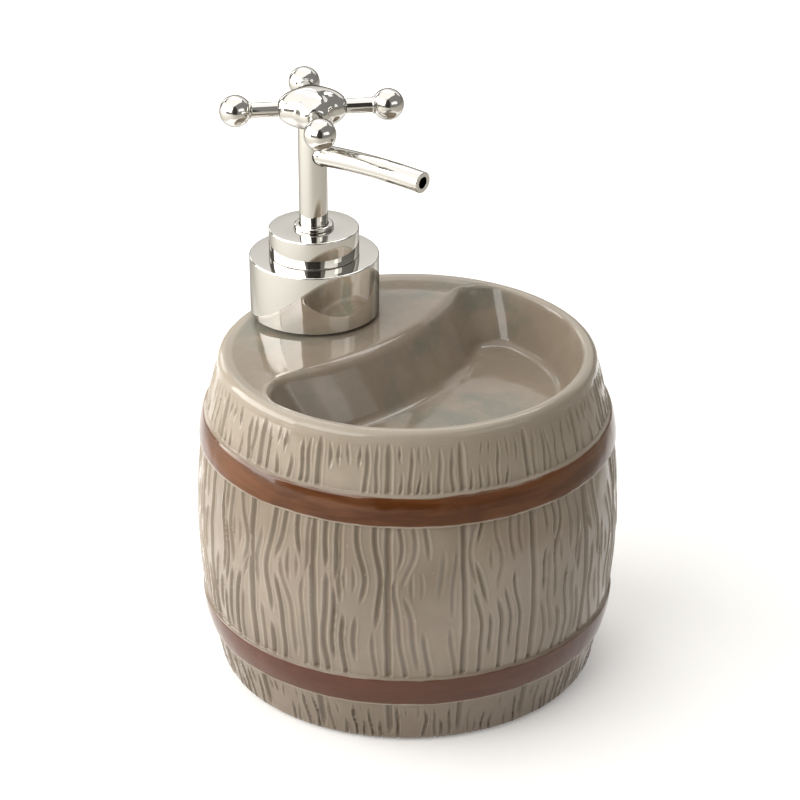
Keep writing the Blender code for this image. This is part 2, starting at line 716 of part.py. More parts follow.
def hub_surface(direction):
    """Distance from the hub's centre to its skin: two crossed egg shapes, cut flat where the arms join."""
    reach = 0.0
    for name in ("front_left", "rear_left"):
        angle = math.radians(ARM_ANGLES[name])
        along = abs(direction.dot(Vector((math.cos(angle), math.sin(angle), 0))))
        across = 1 - along**2
        lobe = 1 / math.sqrt((along / HUB_LOBE_LENGTH) ** 2 + across / HUB_LOBE_R**2)
        reach = max(reach, min(lobe, HUB_NECK_END / max(along, 0.1)))
    return reach


def make_hub(pivot):
    bm = bmesh.new()
    bmesh.ops.create_uvsphere(bm, u_segments=48, v_segments=20, radius=1.0)
    for vert in bm.verts:
        direction = vert.co.normalized()
        vert.co = direction * hub_surface(direction)
    hub = make_object("handle_hub", bm, CHROME, (PUMP_X, 0, HUB_Z), pivot)
    low, high = (PUMP_X, 0, HUB_Z - 9), (PUMP_X, 0, STEM_TOP_Z + GAP)
    add_boolean(hub, cross_cutter("hub_bore_cutter", STEM_R + GAP, low, high))
    for name, angle in ARM_ANGLES.items():
        out = Vector((math.cos(math.radians(angle)), math.sin(math.radians(angle)), 0))
        centre = Vector((PUMP_X, 0, HUB_Z))
        start, end = centre + out * (HUB_NECK_END - 3.3), centre + out * (HUB_NECK_END + 2)
        add_boolean(hub, cross_cutter(f"tenon_cutter_{name}", TENON_R + GAP, start, end))


def make_arms(pivot):
    """Four turned arms, each a tenon, a rod, a thin ring and a ball."""
    root = HUB_NECK_END + GAP
    profile = [
        (0.0, HUB_NECK_END - 3.0),
        (TENON_R, HUB_NECK_END - 3.0),
        (TENON_R, root),
        (ARM_R, root),
        (ARM_R, ARM_RING_AT - 0.2),
        (ARM_RING_R, ARM_RING_AT),
        (ARM_RING_R, ARM_RING_AT + 0.4),
    ]
    # the ball starts where its circle passes the ring's radius
    start = -90 + math.degrees(math.asin(ARM_RING_R / BALL_KNOB_R)) + 4
    ball = arc(0.0, ARM_REACH, BALL_KNOB_R, start, 90, 8)
    profile += ball[:-1] + [(0.0, ARM_REACH + BALL_KNOB_R)]
    for name, angle in ARM_ANGLES.items():
        bm = spin_profile(profile, 16)
        lay = Matrix.Rotation(math.radians(angle), 4, "Z") @ Matrix.Rotation(math.pi / 2, 4, "Y")
        bmesh.ops.transform(bm, matrix=lay, verts=bm.verts)
        make_object(f"handle_arm_{name}", bm, CHROME, (PUMP_X, 0, HUB_Z), pivot)


clear_scene()

CUTTER = make_material("cutter", (0.9, 0.2, 0.2), 0.6)
GLAZE = make_material("glazed_ceramic", (0.42, 0.37, 0.29), 0.12)
CHROME = make_material("chrome", (0.80, 0.79, 0.76), 0.06, metallic=1.0)
WHITE_PLASTIC = make_material("white_plastic", (0.80, 0.80, 0.78), 0.45)
NATURAL_PLASTIC = make_material("natural_plastic", (0.78, 0.79, 0.78), 0.35, alpha=0.8)
GASKET = make_material("gasket_rubber", (0.55, 0.56, 0.57), 0.75)
SPRING_STEEL = make_material("spring_steel", (0.56, 0.56, 0.55), 0.28, metallic=1.0)
STEEL = make_material("polished_steel", (0.62, 0.62, 0.62), 0.12, metallic=1.0)

cartridge_pivot = make_pivot("cartridge_pivot", (PUMP_X, 0, CLOSURE_Z))
closure_pivot = make_pivot("closure_pivot", (PUMP_X, 0, CLOSURE_Z))
plunger_pivot = make_pivot("plunger_pivot", (PUMP_X, 0, ROD_STOP_Z))
head_pivot = make_pivot("head_pivot", (PUMP_X, 0, SPOUT_Z))

make_barrel()
make_neck_insert()
make_housing(cartridge_pivot)
make_chaplet(cartridge_pivot)
make_spring(cartridge_pivot)
make_check_ball(cartridge_pivot)
make_closure(closure_pivot)
make_plunger(plunger_pivot)
make_stem_and_spout(head_pivot)
make_hub(head_pivot)
make_arms(head_pivot)
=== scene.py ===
"""The looks of the ceramic barrel dispenser: carved glaze, chrome, plastics, light and camera.

Lengths are in millimetres and turn into metres where a mesh is made. +Z is up, the pump is on -X.
"""

import json
from math import acos, asin, atan2, ceil, copysign, cos, exp, floor, pi, radians, sin, sqrt, tan, tau

import bpy
import numpy as np
from mathutils import Matrix, Vector


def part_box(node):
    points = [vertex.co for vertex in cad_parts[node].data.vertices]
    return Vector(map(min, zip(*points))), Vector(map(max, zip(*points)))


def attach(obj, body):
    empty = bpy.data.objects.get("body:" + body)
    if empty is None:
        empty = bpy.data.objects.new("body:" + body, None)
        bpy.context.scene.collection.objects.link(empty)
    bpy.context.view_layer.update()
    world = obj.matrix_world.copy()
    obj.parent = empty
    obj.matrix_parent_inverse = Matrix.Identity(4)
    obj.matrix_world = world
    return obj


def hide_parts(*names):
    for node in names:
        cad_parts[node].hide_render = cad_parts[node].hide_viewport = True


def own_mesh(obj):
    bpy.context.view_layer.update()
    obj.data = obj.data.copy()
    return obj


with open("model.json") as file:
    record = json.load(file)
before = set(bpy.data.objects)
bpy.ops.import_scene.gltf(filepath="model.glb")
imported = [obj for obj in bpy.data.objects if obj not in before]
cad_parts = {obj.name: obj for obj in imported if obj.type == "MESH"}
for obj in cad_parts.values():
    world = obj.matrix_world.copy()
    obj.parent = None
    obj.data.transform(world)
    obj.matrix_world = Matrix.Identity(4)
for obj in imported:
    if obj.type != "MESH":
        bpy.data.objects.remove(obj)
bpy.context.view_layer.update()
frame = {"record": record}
MM = 0.001


def node_span(node):
    """A turned node's axis x, outer radius, lowest and highest z, in millimetres."""
    low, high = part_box(node)
    centre = (low.x + high.x) / 2 / MM
    return centre, (high.x - low.x) / 2 / MM, low.z / MM, high.z / MM


PUMP_X = node_span("closure_shell")[0]

# ---- barrel shape

BELLY_R, BELLY_Z, SIDE_ARC_R = 60.1, 46.0, 161.0
FOOT_RING_IN, FOOT_RING_OUT, FOOT_RECESS, FOOT_ROUND = 44.5, 50.8, 1.2, 2.4
BANDS = ((14.0, 23.9), (70.0, 79.3))
BAND_RELIEF = 1.25
CREST_R, CREST_Z, SHOULDER_Z = 50.6, 95.5, 92.9
PLATFORM_Z, PLATFORM_BLEND = 96.7, 18.0
WALL = 5.0
WELL_FLOOR_Z, WELL_WALL_R = 80.5, 50.2
DIVIDER_X, DIVIDER_ARC_R, DIVIDER_FOOT_ARC_R = -7.3, 95.0, 75.0
WELL_CORNER_R, WELL_CORNER_FLOOR_R = 10.0, 6.0
WELL_FLOOR_MIDDLE_X = 17.0
WALL_SECTION = (1.3, 3.5, 70.5)  # convex radius, concave radius, slope in degrees
DIVIDER_SECTION = (5.0, 4.0, 60.0)
RESERVOIR_FLOOR_Z, RESERVOIR_TOP_Z = 5.5, WELL_FLOOR_Z - WALL
TOWER_R, TOWER_X, TOWER_ARC_R, TOWER_TOP_Z = 47.5, -12.5, 100.0, PLATFORM_Z - WALL
MOUTH_R = 13.5

STAVES = 18
STAVE_TURN = 4.6  # degrees from +X to the first joint
COLUMNS, ROW_STEP = STAVES * 72, 0.36
THETA = np.arange(COLUMNS) * tau / COLUMNS
GRAIN_LOW_Z, GRAIN_TOP_Z = 3.2, 92.3  # the carving leaves the foot and the rim plain
ZONES = ((GRAIN_LOW_Z, BANDS[0][0]), (BANDS[0][1], BANDS[1][0]), (BANDS[1][1], GRAIN_TOP_Z))
GRAIN_SEED = 1128
RUN_OUT = 0.8  # how far a stroke runs on under a band
TIP_LENGTH = 3.2  # of a stroke's pointed end
GROOVE_REACH, LIP_AT, LIP_SPREAD = 1.6, 2.0, 0.55  # across a stroke, in half widths
LIP_SHARE = 0.26  # of the depth

# ---- pump and head

SEAT_Z = 112.5  # the large cap's ledge, the nut's foot and the rod's shoulder
PISTON_BORE = 2.4
STEM_R = 4.05
SPOUT_R, SPOUT_BORE_R, SPOUT_Z, SPOUT_ROOT, SPOUT_REACH = 3.0, 1.65, 145.25, 3.0, 39.7
SPOUT_RISE, SPOUT_DROP = radians(6.0), radians(-3.0)  # at the stem and at the tip
HUB_Z, HUB_LOBE_LENGTH, HUB_LOBE_R, HUB_NECK_END, HUB_BORE_Z = 158.3, 10.05, 6.0, 9.3, 155.9
ARM_ANGLES = {"front_left": 47.3, "rear_left": 137.3, "rear_right": -132.7, "front_right": -42.7}

# ---- colours, linear

GLAZE = {
    "deep": (0.232, 0.187, 0.139),
    "usual": (0.282, 0.232, 0.179),
    "rosy": (0.252, 0.192, 0.150),
    "cool": (0.160, 0.166, 0.132),
    # darker in the grooves: partly pooled glaze, partly painted shade
    "pooled_and_groove_shade": (0.112, 0.082, 0.052),
    "thin": (0.325, 0.290, 0.240),
    "speck": (0.36, 0.33, 0.28),
    # painted highlight: the rim's crest lighter
    "rim": (0.370, 0.335, 0.280),
    # painted light: the side above the upper band lighter
    "upper": (0.375, 0.325, 0.258),
    # painted shade: darker towards the bottom
    "foot": (0.120, 0.088, 0.060),
    "line": (0.34, 0.28, 0.21),
}
PAINT = {
    "deep": (0.074, 0.022, 0.005),
    "usual": (0.136, 0.050, 0.017),
    "blotch": (0.058, 0.017, 0.004),
    # painted shade: the lower band a deeper brown, near the floor
    "lower": (0.066, 0.013, 0.001),
}

# ---- view and lights

VIEW_AZIMUTH, VIEW_ELEVATION, VIEW_DISTANCE = radians(39.7), radians(26.42), 748.2
TARGET_Z, AXIS_SHIFT, LENS = 79.04, 2.107, 119.4
RIGHT = Vector((cos(VIEW_AZIMUTH), sin(VIEW_AZIMUTH), 0))
AHEAD = Vector((-sin(VIEW_AZIMUTH), cos(VIEW_AZIMUTH), 0))
# the floor's white part, in metres: how near, half how wide, its widening and its soft edge
WHITE_NEAR, WHITE_HALF, WHITE_SPREAD, WHITE_FADE = 0.118, 0.140, 0.138, 0.075
LIGHT_COLOUR, LIGHTS_AIM_Z = (1.0, 0.985, 0.96), 0.08
LIGHTS = {  # (aside, ahead, up) and (width, height) in metres, radiance
    "left_window": ((-1.40, 0.10, 0.45), (1.4, 1.0), 5.7),
    "left_front": ((-0.95, -0.95, 0.85), (1.1, 1.0), 3.9),
    "right_front": ((1.00, -0.95, 0.70), (0.9, 0.45), 1.0),
    "right_window": ((1.36, -0.63, 0.60), (0.55, 0.42), 0.85),
    "back_panel": ((0.35, 2.1, 1.25), (3.6, 1.1), 0.80),
    "overhead": ((-0.4, 0.3, 1.9), (3.4, 3.0), 1.0),
    "high_back": ((0.1, 0.95, 1.45), (1.5, 0.35), 3.2),
    "left_back": ((-1.05, 1.55, 0.55), (0.5, 0.6), 2.4),
}

# ---- barrel outline


def smoothstep(t):
    t = np.clip(t, 0.0, 1.0)
    return t * t * (3 - 2 * t)


def side_radius(z):
    return BELLY_R - SIDE_ARC_R + np.sqrt(SIDE_ARC_R**2 - (z - BELLY_Z) ** 2)


def band_relief(z):
    """How far the bands stand proud: a low arch, a little softer at its upper edge."""
    relief = np.zeros_like(z)
    for low, high in BANDS:
        across = np.clip(2 * (z - low) / (high - low) - 1, -1, 1)
        edge = smoothstep((z - low + 0.1) / 0.7) * smoothstep((high - z + 0.1) / 0.9)
        relief = np.maximum(relief, edge * BAND_RELIEF * (1 - 0.3 * across**2))
    return relief


def platform_height(x, y):
    """The top's height: the platform's, falling softly to the rim's crest."""
    inward = (CREST_R - np.hypot(x, y)) / PLATFORM_BLEND
    return CREST_Z + (PLATFORM_Z - CREST_Z) * smoothstep(inward)


def well_outline(wall_r, divider_x, divider_r, corner_r):
    """A D-shaped outline's point for each of the barrel's columns, and its share of divider."""
    centre = divider_r - divider_x
    inner, outer = wall_r - corner_r, divider_r + corner_r
    fillet_x = (outer**2 - inner**2 - centre**2) / (2 * centre)
    fillet_y = sqrt(inner**2 - fillet_x**2)
    wall_end = atan2(fillet_y, fillet_x)
    divider_end = asin(fillet_y / outer)
    fillet_length = corner_r * (pi + divider_end - wall_end)
    whole = fillet_length + divider_r * divider_end
    turn = np.abs(np.arctan2(np.sin(THETA), np.cos(THETA)))
    side = np.where(np.sin(THETA) >= 0, 1.0, -1.0)
    run = whole * (turn - wall_end) / (pi - wall_end)
    round_at = wall_end + run / corner_r
    along = divider_end * (whole - run) / (whole - fillet_length)
    on_wall, on_fillet = turn <= wall_end, run < fillet_length
    angle = np.where(on_wall, turn, np.where(on_fillet, round_at, along))
    radius = np.where(on_wall, wall_r, np.where(on_fillet, corner_r, divider_r))
    x = np.where(on_wall, 0.0, np.where(on_fillet, fillet_x, -centre)) + radius * np.cos(angle)
    y = np.where(~on_wall & on_fillet, fillet_y, 0.0) + radius * np.sin(angle)
    mix = np.where(on_wall, 0.0, smoothstep(run / fillet_length))
    return x, side * y, mix


def section_points(section, drop, counts=(9, 7, 9)):
    """A wall's section as (inward, fallen): convex arc, straight slope, concave arc."""
    top_r, foot_r, slope = section[0], section[1], radians(section[2])
    down = np.array([cos(slope), sin(slope)])
    straight = (drop - (top_r + foot_r) * (1 - down[0])) / down[1]
    turn = np.linspace(0, slope, counts[0])
    top = np.stack([top_r * np.sin(turn), top_r * (1 - np.cos(turn))], -1)
    middle = top[-1] + np.linspace(0, straight, counts[1] + 2)[1:-1, None] * down
    turn = np.linspace(slope, 0, counts[2])
    foot = np.stack([foot_r * (down[1] - np.sin(turn)), foot_r * (np.cos(turn) - down[0])], -1)
    return np.concatenate([top, middle, top[-1] + straight * down + foot])


# ---- carved grain


class Carving:
    """Maps of groove depth and raised lips over the barrel's side, in arc length s and height z."""

    def __init__(self, heights):
        self.z = heights
        self.round = tau * BELLY_R
        self.depth = np.zeros((len(heights), COLUMNS))
        self.lip = np.zeros((len(heights), COLUMNS))

    def cut(self, s, z, half_width, depth):
        """A groove along close points (s, z), with a half width and a depth at each."""
        reach = half_width.max() * 3.0 + 0.1
        rows = np.nonzero((self.z > z.min() - reach) & (self.z < z.max() + reach))[0]
        if not len(rows):
            return
        step = self.round / COLUMNS
        first, last = floor((s.min() - reach) / step), ceil((s.max() + reach) / step)
        columns = np.arange(first, last + 1)
        across = (columns * step)[None, :, None] - s[None, None, :]
        along = self.z[rows][:, None, None] - z[None, None, :]
        ratio = np.sqrt(across**2 + along**2) / half_width
        nearest = ratio.argmin(axis=2)
        ratio = np.take_along_axis(ratio, nearest[..., None], 2)[..., 0]
        strength = depth[nearest]
        groove = strength * np.cos(np.clip(ratio / GROOVE_REACH, 0, 1) * pi / 2) ** 1.5
        lip = LIP_SHARE * strength * np.exp(-(((ratio - LIP_AT) / LIP_SPREAD) ** 2))
        place = np.ix_(rows, columns % COLUMNS)
        self.depth[place] = np.maximum(self.depth[place], groove)
        self.lip[place] = np.maximum(self.lip[place], lip)

    def relief(self):
        """The carved surface's height over the plain side, with no lip where a groove runs."""
        clear = 1 - np.clip(self.depth / 0.12, 0, 1)
        return self.lip * clear - self.depth


def carve_line(carving, path, low, high, width, depth, tips=(True, True)):
    """One stroke along path(z) from low to high, pointed at the ends that are tips."""
    count = max(8, int((high - low) / 0.28))
    z = np.linspace(low, high, count)
    share = np.ones(count)
    if tips[0]:
        share = np.minimum(share, ((z - low) / TIP_LENGTH) ** 0.7)
    if tips[1]:
        share = np.minimum(share, ((high - z) / TIP_LENGTH) ** 0.7)
    share = np.clip(share, 0.06, 1)
    carving.cut(path(z), z, width * (0.5 + 0.5 * share), depth * share)


def tips_of(from_z, to_z, low, high):
    """Which of a stroke's ends are pointed: those that don't run out under a zone's border."""
    return from_z > low - 0.5, to_z < high + 0.5


def flowing(start, lane, tilt, middle, waves, knots=()):
    """A stroke's line: a lane that tilts, sways by its waves and parts round knots."""

    def path(z):
        s = lane + tilt * (z - middle)
        for size, length, phase in waves:
            s = s + size * np.sin(z * tau / length + phase)
        for knot_s, knot_z, push in knots:
            near = np.exp(-(((z - knot_z) / 7.0) ** 2)) * exp(-abs(lane - knot_s) / 5.0)
            s = s + copysign(push, lane - knot_s) * near
        return start + s

    return path


def carve_tall_zone(carving, rng, start, width, low, high):
    """The middle zone's grain: broken lines that sway together and part round a knot."""
    draw = rng.uniform
    lanes = int(rng.integers(5, 7))
    middle = (low + high) / 2
    tilt = draw(-0.07, 0.05)
    sway = (draw(0.6, 1.35), draw(30, 46), draw(0, tau))
    ripple = (draw(0.1, 0.28), draw(15, 21), draw(0, tau))
    knot_s, knot_z = draw(0.3, 0.7) * width, draw(low + 10, high - 10)
    knot = (knot_s, knot_z, draw(1.8, 3.2))
    gap = (width - 4.0) / lanes
    for lane in range(lanes):
        at = 2.0 + gap * (lane + 0.5 + draw(-0.15, 0.15))
        path = flowing(start, at, tilt, middle, [sway, ripple], [knot])
        from_z = low - draw(-6.0, 3.0) if lane % 2 else low - RUN_OUT
        while from_z < high - 4:
            to_z = from_z + draw(12, 34)
            to_z = high + RUN_OUT if to_z > high - 5 else to_z
            if rng.random() < 0.86:
                tips = tips_of(from_z, to_z, low, high)
                size = draw(0.40, 0.58), draw(0.38, 0.70)
                carve_line(carving, path, from_z, to_z, *size, tips)
            from_z = to_z + draw(1.0, 4.5)
            at = at + draw(-0.8, 0.8)
            lean = tilt + draw(-0.03, 0.03)
            path = flowing(start, at, lean, middle, [sway, ripple], [knot])
    carve_eye(carving, draw, start, middle, knot)


def carve_eye(carving, draw, start, middle, knot, length=26.0):
    """The two short bowed strokes at a knot."""
    knot_s, knot_z, push = knot
    for side in (-1, 1):
        bow = (side * draw(0.7, 1.0), length, pi / 2 - tau * knot_z / length)
        path = flowing(start, knot_s + side * push * 0.25, 0.0, middle, [bow])
        half = draw(3.5, 5.5)
        carve_line(carving, path, knot_z - half, knot_z + half, 0.45, draw(0.3, 0.5))


def carve_short_zone(carving, rng, start, width, low, high, spacing, stroke):
    """The grain above the upper band and below the lower one: short upright strokes."""
    draw = rng.uniform
    lanes = max(3, round((width - 3.0) / spacing))
    middle, reach = (low + high) / 2, high - low
    lean = draw(-0.05, 0.05)
    gap = (width - 3.0) / lanes
    for lane in range(lanes):
        at = 1.5 + gap * (lane + 0.5 + draw(-0.22, 0.22))
        wave = (draw(0.1, 0.4), draw(9, 16), draw(0, tau))
        path = flowing(start, at, lean + draw(-0.06, 0.06), middle, [wave])
        kind = rng.random()
        if kind < 0.42:  # the whole zone
            spans = [(low - RUN_OUT, high - draw(0, 1.5))]
        elif kind < 0.62:  # its lower part
            spans = [(low - RUN_OUT, low + reach * draw(0.4, 0.6))]
        elif kind < 0.82:  # its upper part
            spans = [(low + reach * draw(0.35, 0.55), high - draw(0, 1.0))]
        else:  # two strokes, one over the other
            cut = low + reach * draw(0.45, 0.6)
            spans = [(low - RUN_OUT, cut - 1.0), (cut + 1.0, high - 0.4)]
        for from_z, to_z in spans:
            tips = tips_of(from_z, to_z, low, high)
            size = stroke * draw(0.8, 1.2), draw(0.36, 0.66)
            carve_line(carving, path, from_z, to_z, *size, tips)


def carve_staves(carving, rng):
    """Every stave's grain in its three zones, and the joint at its start."""
    width = carving.round / STAVES
    low_zone, tall_zone, high_zone = ZONES
    for stave in range(STAVES):
        start = carving.round * STAVE_TURN / 360 + stave * width
        carve_short_zone(carving, rng, start, width, *low_zone, 2.4, 0.34)
        carve_tall_zone(carving, rng, start, width, *tall_zone)
        carve_short_zone(carving, rng, start, width, *high_zone, 3.0, 0.42)
        wander, phase = rng.uniform(0.05, 0.22), rng.uniform(0, tau)
        joint = flowing(start, 0.0, 0.0, 0.0, [(wander, 41.0, phase), (0.08, 13.0, phase)])
        for zone in ZONES:
            low, high = zone
            ends = (zone is low_zone, zone is high_zone)
            top = high + (0.2 if zone is high_zone else RUN_OUT)
            carve_line(carving, joint, low - RUN_OUT, top, 0.66, 0.68, ends)


def smooth_field(rng, rows, wave_rows, most_turns, terms=14):
    """A gentle field over the side that repeats round the barrel, between about -1 and 1."""
    field = np.zeros((rows, COLUMNS))
    for _ in range(terms):
        turns = rng.integers(1, most_turns + 1)
        pitch = rng.uniform(0.3, 1.0) * tau / wave_rows
        phase_u, phase_v = rng.uniform(0, 6.3, 2)
        up = np.cos(pitch * np.arange(rows) + phase_v)
        field += np.cos(turns * THETA + phase_u)[None, :] * up[:, None]
    return field / sqrt(terms)


# ---- meshes


def mesh_object(name, points, quads, tris=None):
    """An object from points in millimetres with quads and triangles given by index."""
    mesh = bpy.data.meshes.new(name)
    tris = np.zeros((0, 3), int) if tris is None else np.asarray(tris)
    corners = np.concatenate([np.asarray(quads).ravel(), tris.ravel()]).astype(np.int32)
    totals = np.concatenate([np.full(len(quads), 4), np.full(len(tris), 3)])
    starts = np.concatenate([[0], np.cumsum(totals)[:-1]]).astype(np.int32)
    mesh.vertices.add(len(points))
    mesh.vertices.foreach_set("co", (np.asarray(points) * MM).astype(np.float32).ravel())
    mesh.loops.add(len(corners))
    mesh.loops.foreach_set("vertex_index", corners)
    mesh.polygons.add(len(starts))
    mesh.polygons.foreach_set("loop_start", starts)
    mesh.update(calc_edges=True)
    mesh.shade_smooth()
    item = bpy.data.objects.new(name, mesh)
    bpy.context.scene.collection.objects.link(item)
    return item


def ring_quads(rows, columns, close_rows=False):
    """Quads between consecutive closed rings of points."""
    last = rows if close_rows else rows - 1
    r, c = np.meshgrid(np.arange(last), np.arange(columns), indexing="ij")
    a = (r * columns + c).ravel()
    b = (r * columns + (c + 1) % columns).ravel()
    up = ((r + 1) % rows * columns + c).ravel()
    up_b = ((r + 1) % rows * columns + (c + 1) % columns).ravel()
    return np.stack([a, b, up_b, up], -1)


def closed_loft(name, rings, low_point, high_point):
    """A closed skin through rings of shape (rows, columns, 3), with a point at each end."""
    rows, columns, _ = rings.shape
    points = np.concatenate([rings.reshape(-1, 3), [low_point, high_point]])
    c = np.arange(columns)
    n = (c + 1) % columns
    low = np.stack([n, c, np.full(columns, rows * columns)], -1)
    top = (rows - 1) * columns
    high = np.stack([top + c, top + n, np.full(columns, rows * columns + 1)], -1)
    return mesh_object(name, points, ring_quads(rows, columns), np.concatenate([low, high]))


def unit(vector):
    return vector / np.linalg.norm(vector)


def fillet(outline, steps):
    """Rounds the corners of a closed (r, z, radius) outline."""
    points = []
    for i, (r, z, radius) in enumerate(outline):
        here = np.array([r, z])
        if radius <= 0:
            points.append(here)
            continue
        before = unit(np.array(outline[i - 1][:2]) - here)
        after = unit(np.array(outline[(i + 1) % len(outline)][:2]) - here)
        half = acos(np.clip(before @ after, -1, 1)) / 2
        centre = here + unit(before + after) * radius / sin(half)
        start = here + before * radius / tan(half) - centre
        end = here + after * radius / tan(half) - centre
        sweep = acos(np.clip(start @ end / radius**2, -1, 1))
        for share in np.arange(steps + 1) / steps:
            part = sin((1 - share) * sweep) * start + sin(share * sweep) * end
            points.append(centre + part / sin(sweep))
    return np.array(points)


def turned(name, outline, at=(PUMP_X, 0.0), steps=112, corner_steps=6):
    """A turned piece from a closed outline of (r, z, corner radius), in either direction."""
    profile = fillet(outline, corner_steps)
    r, z = profile.T
    if np.sum(r * np.roll(z, -1) - np.roll(r, -1) * z) < 0:
        profile = profile[::-1]
    angles = np.arange(steps) * tau / steps
    on_axis = profile[:, 0] < 1e-6
    if on_axis.any():
        # start just after the stretch that lies on the axis, so that the rings run pole to pole
        first = int(np.nonzero(on_axis & ~np.roll(on_axis, -1))[0][0])
        profile = np.roll(profile, -first, axis=0)
        inner = profile[1:][profile[1:, 0] > 1e-6]
        low, high = (*at, profile[0][1]), (*at, profile[len(inner) + 1][1])
        item = closed_loft(name, ring_points(inner, angles, at), low, high)
    else:
        rings = ring_points(profile, angles, at)
        item = mesh_object(name, rings.reshape(-1, 3), ring_quads(len(profile), steps, True))
    return sharpen(item, 40)


def ring_points(profile, angles, at):
    """A profile's (r, z) points turned round the upright axis through at."""
    r, z = profile[:, 0][:, None], profile[:, 1][:, None]
    x = at[0] + r * np.cos(angles)[None, :]
    y = at[1] + r * np.sin(angles)[None, :]
    return np.stack([x, y, np.broadcast_to(z, x.shape)], -1)


def sharpen(item, angle):
    """Smooth shading with hard edges where faces meet at more than this many degrees."""
    item.data.set_sharp_from_angle(angle=radians(angle))
    return item


def cut_away(item, cutter, operation="DIFFERENCE"):
    """Cuts the cutter's shape from the item, or adds it, and removes the cutter."""
    modifier = item.modifiers.new("cut", "BOOLEAN")
    modifier.operation = operation
    modifier.solver = "MANIFOLD"
    modifier.object = cutter
    bpy.context.view_layer.update()
    graph = bpy.context.evaluated_depsgraph_get()
    mesh = bpy.data.meshes.new_from_object(item.evaluated_get(graph))
    item.modifiers.clear()
    item.data = mesh
    bpy.data.objects.remove(cutter, do_unlink=True)


# ---- barrel


def side_heights():
    """Heights of the side's rows, closer together at the bands' edges."""
    rows = [np.arange(FOOT_ROUND, SHOULDER_Z, ROW_STEP)]
    for band in BANDS:
        rows += [edge + np.arange(-0.6, 1.0, 0.12) for edge in band]
    heights = np.unique(np.round(np.concatenate(rows + [[SHOULDER_Z]]), 3))
    keep = np.concatenate([[True], np.diff(heights) > 0.05])
    return heights[keep & (heights <= SHOULDER_Z)]


def barrel_ring(radius, z):
    """A level ring of the barrel's columns, with one radius or a radius for each column."""
    x, y = radius * np.cos(THETA), radius * np.sin(THETA)
    return np.stack([x, y, np.full_like(x, z)], -1)


def carved_side(heights, rng):
    """The side's radius at each height and column, and how much of it is carving."""
    carving = Carving(heights)
    carve_staves(carving, rng)
    place = (THETA * 180 / pi - STAVE_TURN) % (360 / STAVES) / (360 / STAVES)
    crown = 0.22 * (1 - (2 * place - 1) ** 4) - 0.12
    into_grain = smoothstep((heights - GRAIN_LOW_Z) / 1.5)
    grain = into_grain * smoothstep((GRAIN_TOP_Z + 0.35 - heights) / 0.7)
    on_band = np.zeros_like(heights)
    for low, high in BANDS:
        rise = smoothstep((heights - low + 0.3) / 0.6)
        on_band = np.maximum(on_band, rise * smoothstep((high + 0.3 - heights) / 0.6))
    swell = smooth_field(rng, len(heights), 90, 9)
    lumps = smooth_field(rng, len(heights), 26, 60, 40)
    carved = carving.relief() * (1 - on_band)[:, None]
    radius = side_radius(heights)[:, None] + band_relief(heights)[:, None] + carved
    radius = radius + (grain * (1 - 0.75 * on_band))[:, None] * crown[None, :] - 0.22 * grain[:, None]
    radius = radius + 0.10 * swell + 0.05 * lumps * (1 - 0.5 * on_band)[:, None]
    return radius, carved


def foot_rings(radius, z):
    """From the recess under the barrel, round its foot ring, up to the side's first row."""
    rings = [barrel_ring(FOOT_RING_IN - 1.5, FOOT_RECESS), barrel_ring(FOOT_RING_IN - 0.5, 0.5)]
    rings += [barrel_ring(FOOT_RING_IN, 0.0), barrel_ring(FOOT_RING_OUT, 0.0)]
    for turn in np.linspace(0, pi / 2, 8)[1:-1]:
        reach = FOOT_RING_OUT + (radius - FOOT_RING_OUT) * sin(turn)
        rings.append(barrel_ring(reach, z * (1 - cos(turn))))
    return rings


def rim_rings(radius):
    """From the side's last row, round the rim, to its crest."""
    rings = []
    for turn in np.linspace(0, pi / 2, 13)[1:]:
        reach = CREST_R + (radius - CREST_R) * cos(turn)
        rings.append(barrel_ring(reach, SHOULDER_Z + (CREST_Z - SHOULDER_Z) * sin(turn)))
    return rings


def well_rings():
    """Down the well's wall and divider, from the platform to the well's floor."""
    wall = section_points(WALL_SECTION, CREST_Z - WELL_FLOOR_Z)
    divider = section_points(DIVIDER_SECTION, PLATFORM_Z - WELL_FLOOR_Z)
    rings = []
    for i, ((wall_in, wall_down), (divider_in, divider_down)) in enumerate(zip(wall, divider)):
        share = i / (len(wall) - 1)
        arc_r = DIVIDER_ARC_R + (DIVIDER_FOOT_ARC_R - DIVIDER_ARC_R) * share
        corner = WELL_CORNER_R + (WELL_CORNER_FLOOR_R - WELL_CORNER_R) * share
        x, y, mix = well_outline(WELL_WALL_R - wall_in, DIVIDER_X + divider_in, arc_r, corner)
        z = (1 - mix) * (CREST_Z - wall_down) + mix * (PLATFORM_Z - divider_down)
        top = platform_height(x, y)
        z = top + (z - top) * smoothstep(i / 3.0)
        rings.append(np.stack([x, y, z], -1))
    return rings


def platform_rings(outer, inner):
    """Across the platform and the rim's top, from the crest to the well's edge."""
    rings = []
    for share in np.concatenate([[0.04, 0.1], np.linspace(0.18, 0.96, 14)]):
        x, y = (outer[:, :2] * (1 - share) + inner[:, :2] * share).T
        rings.append(np.stack([x, y, platform_height(x, y)], -1))
    return rings


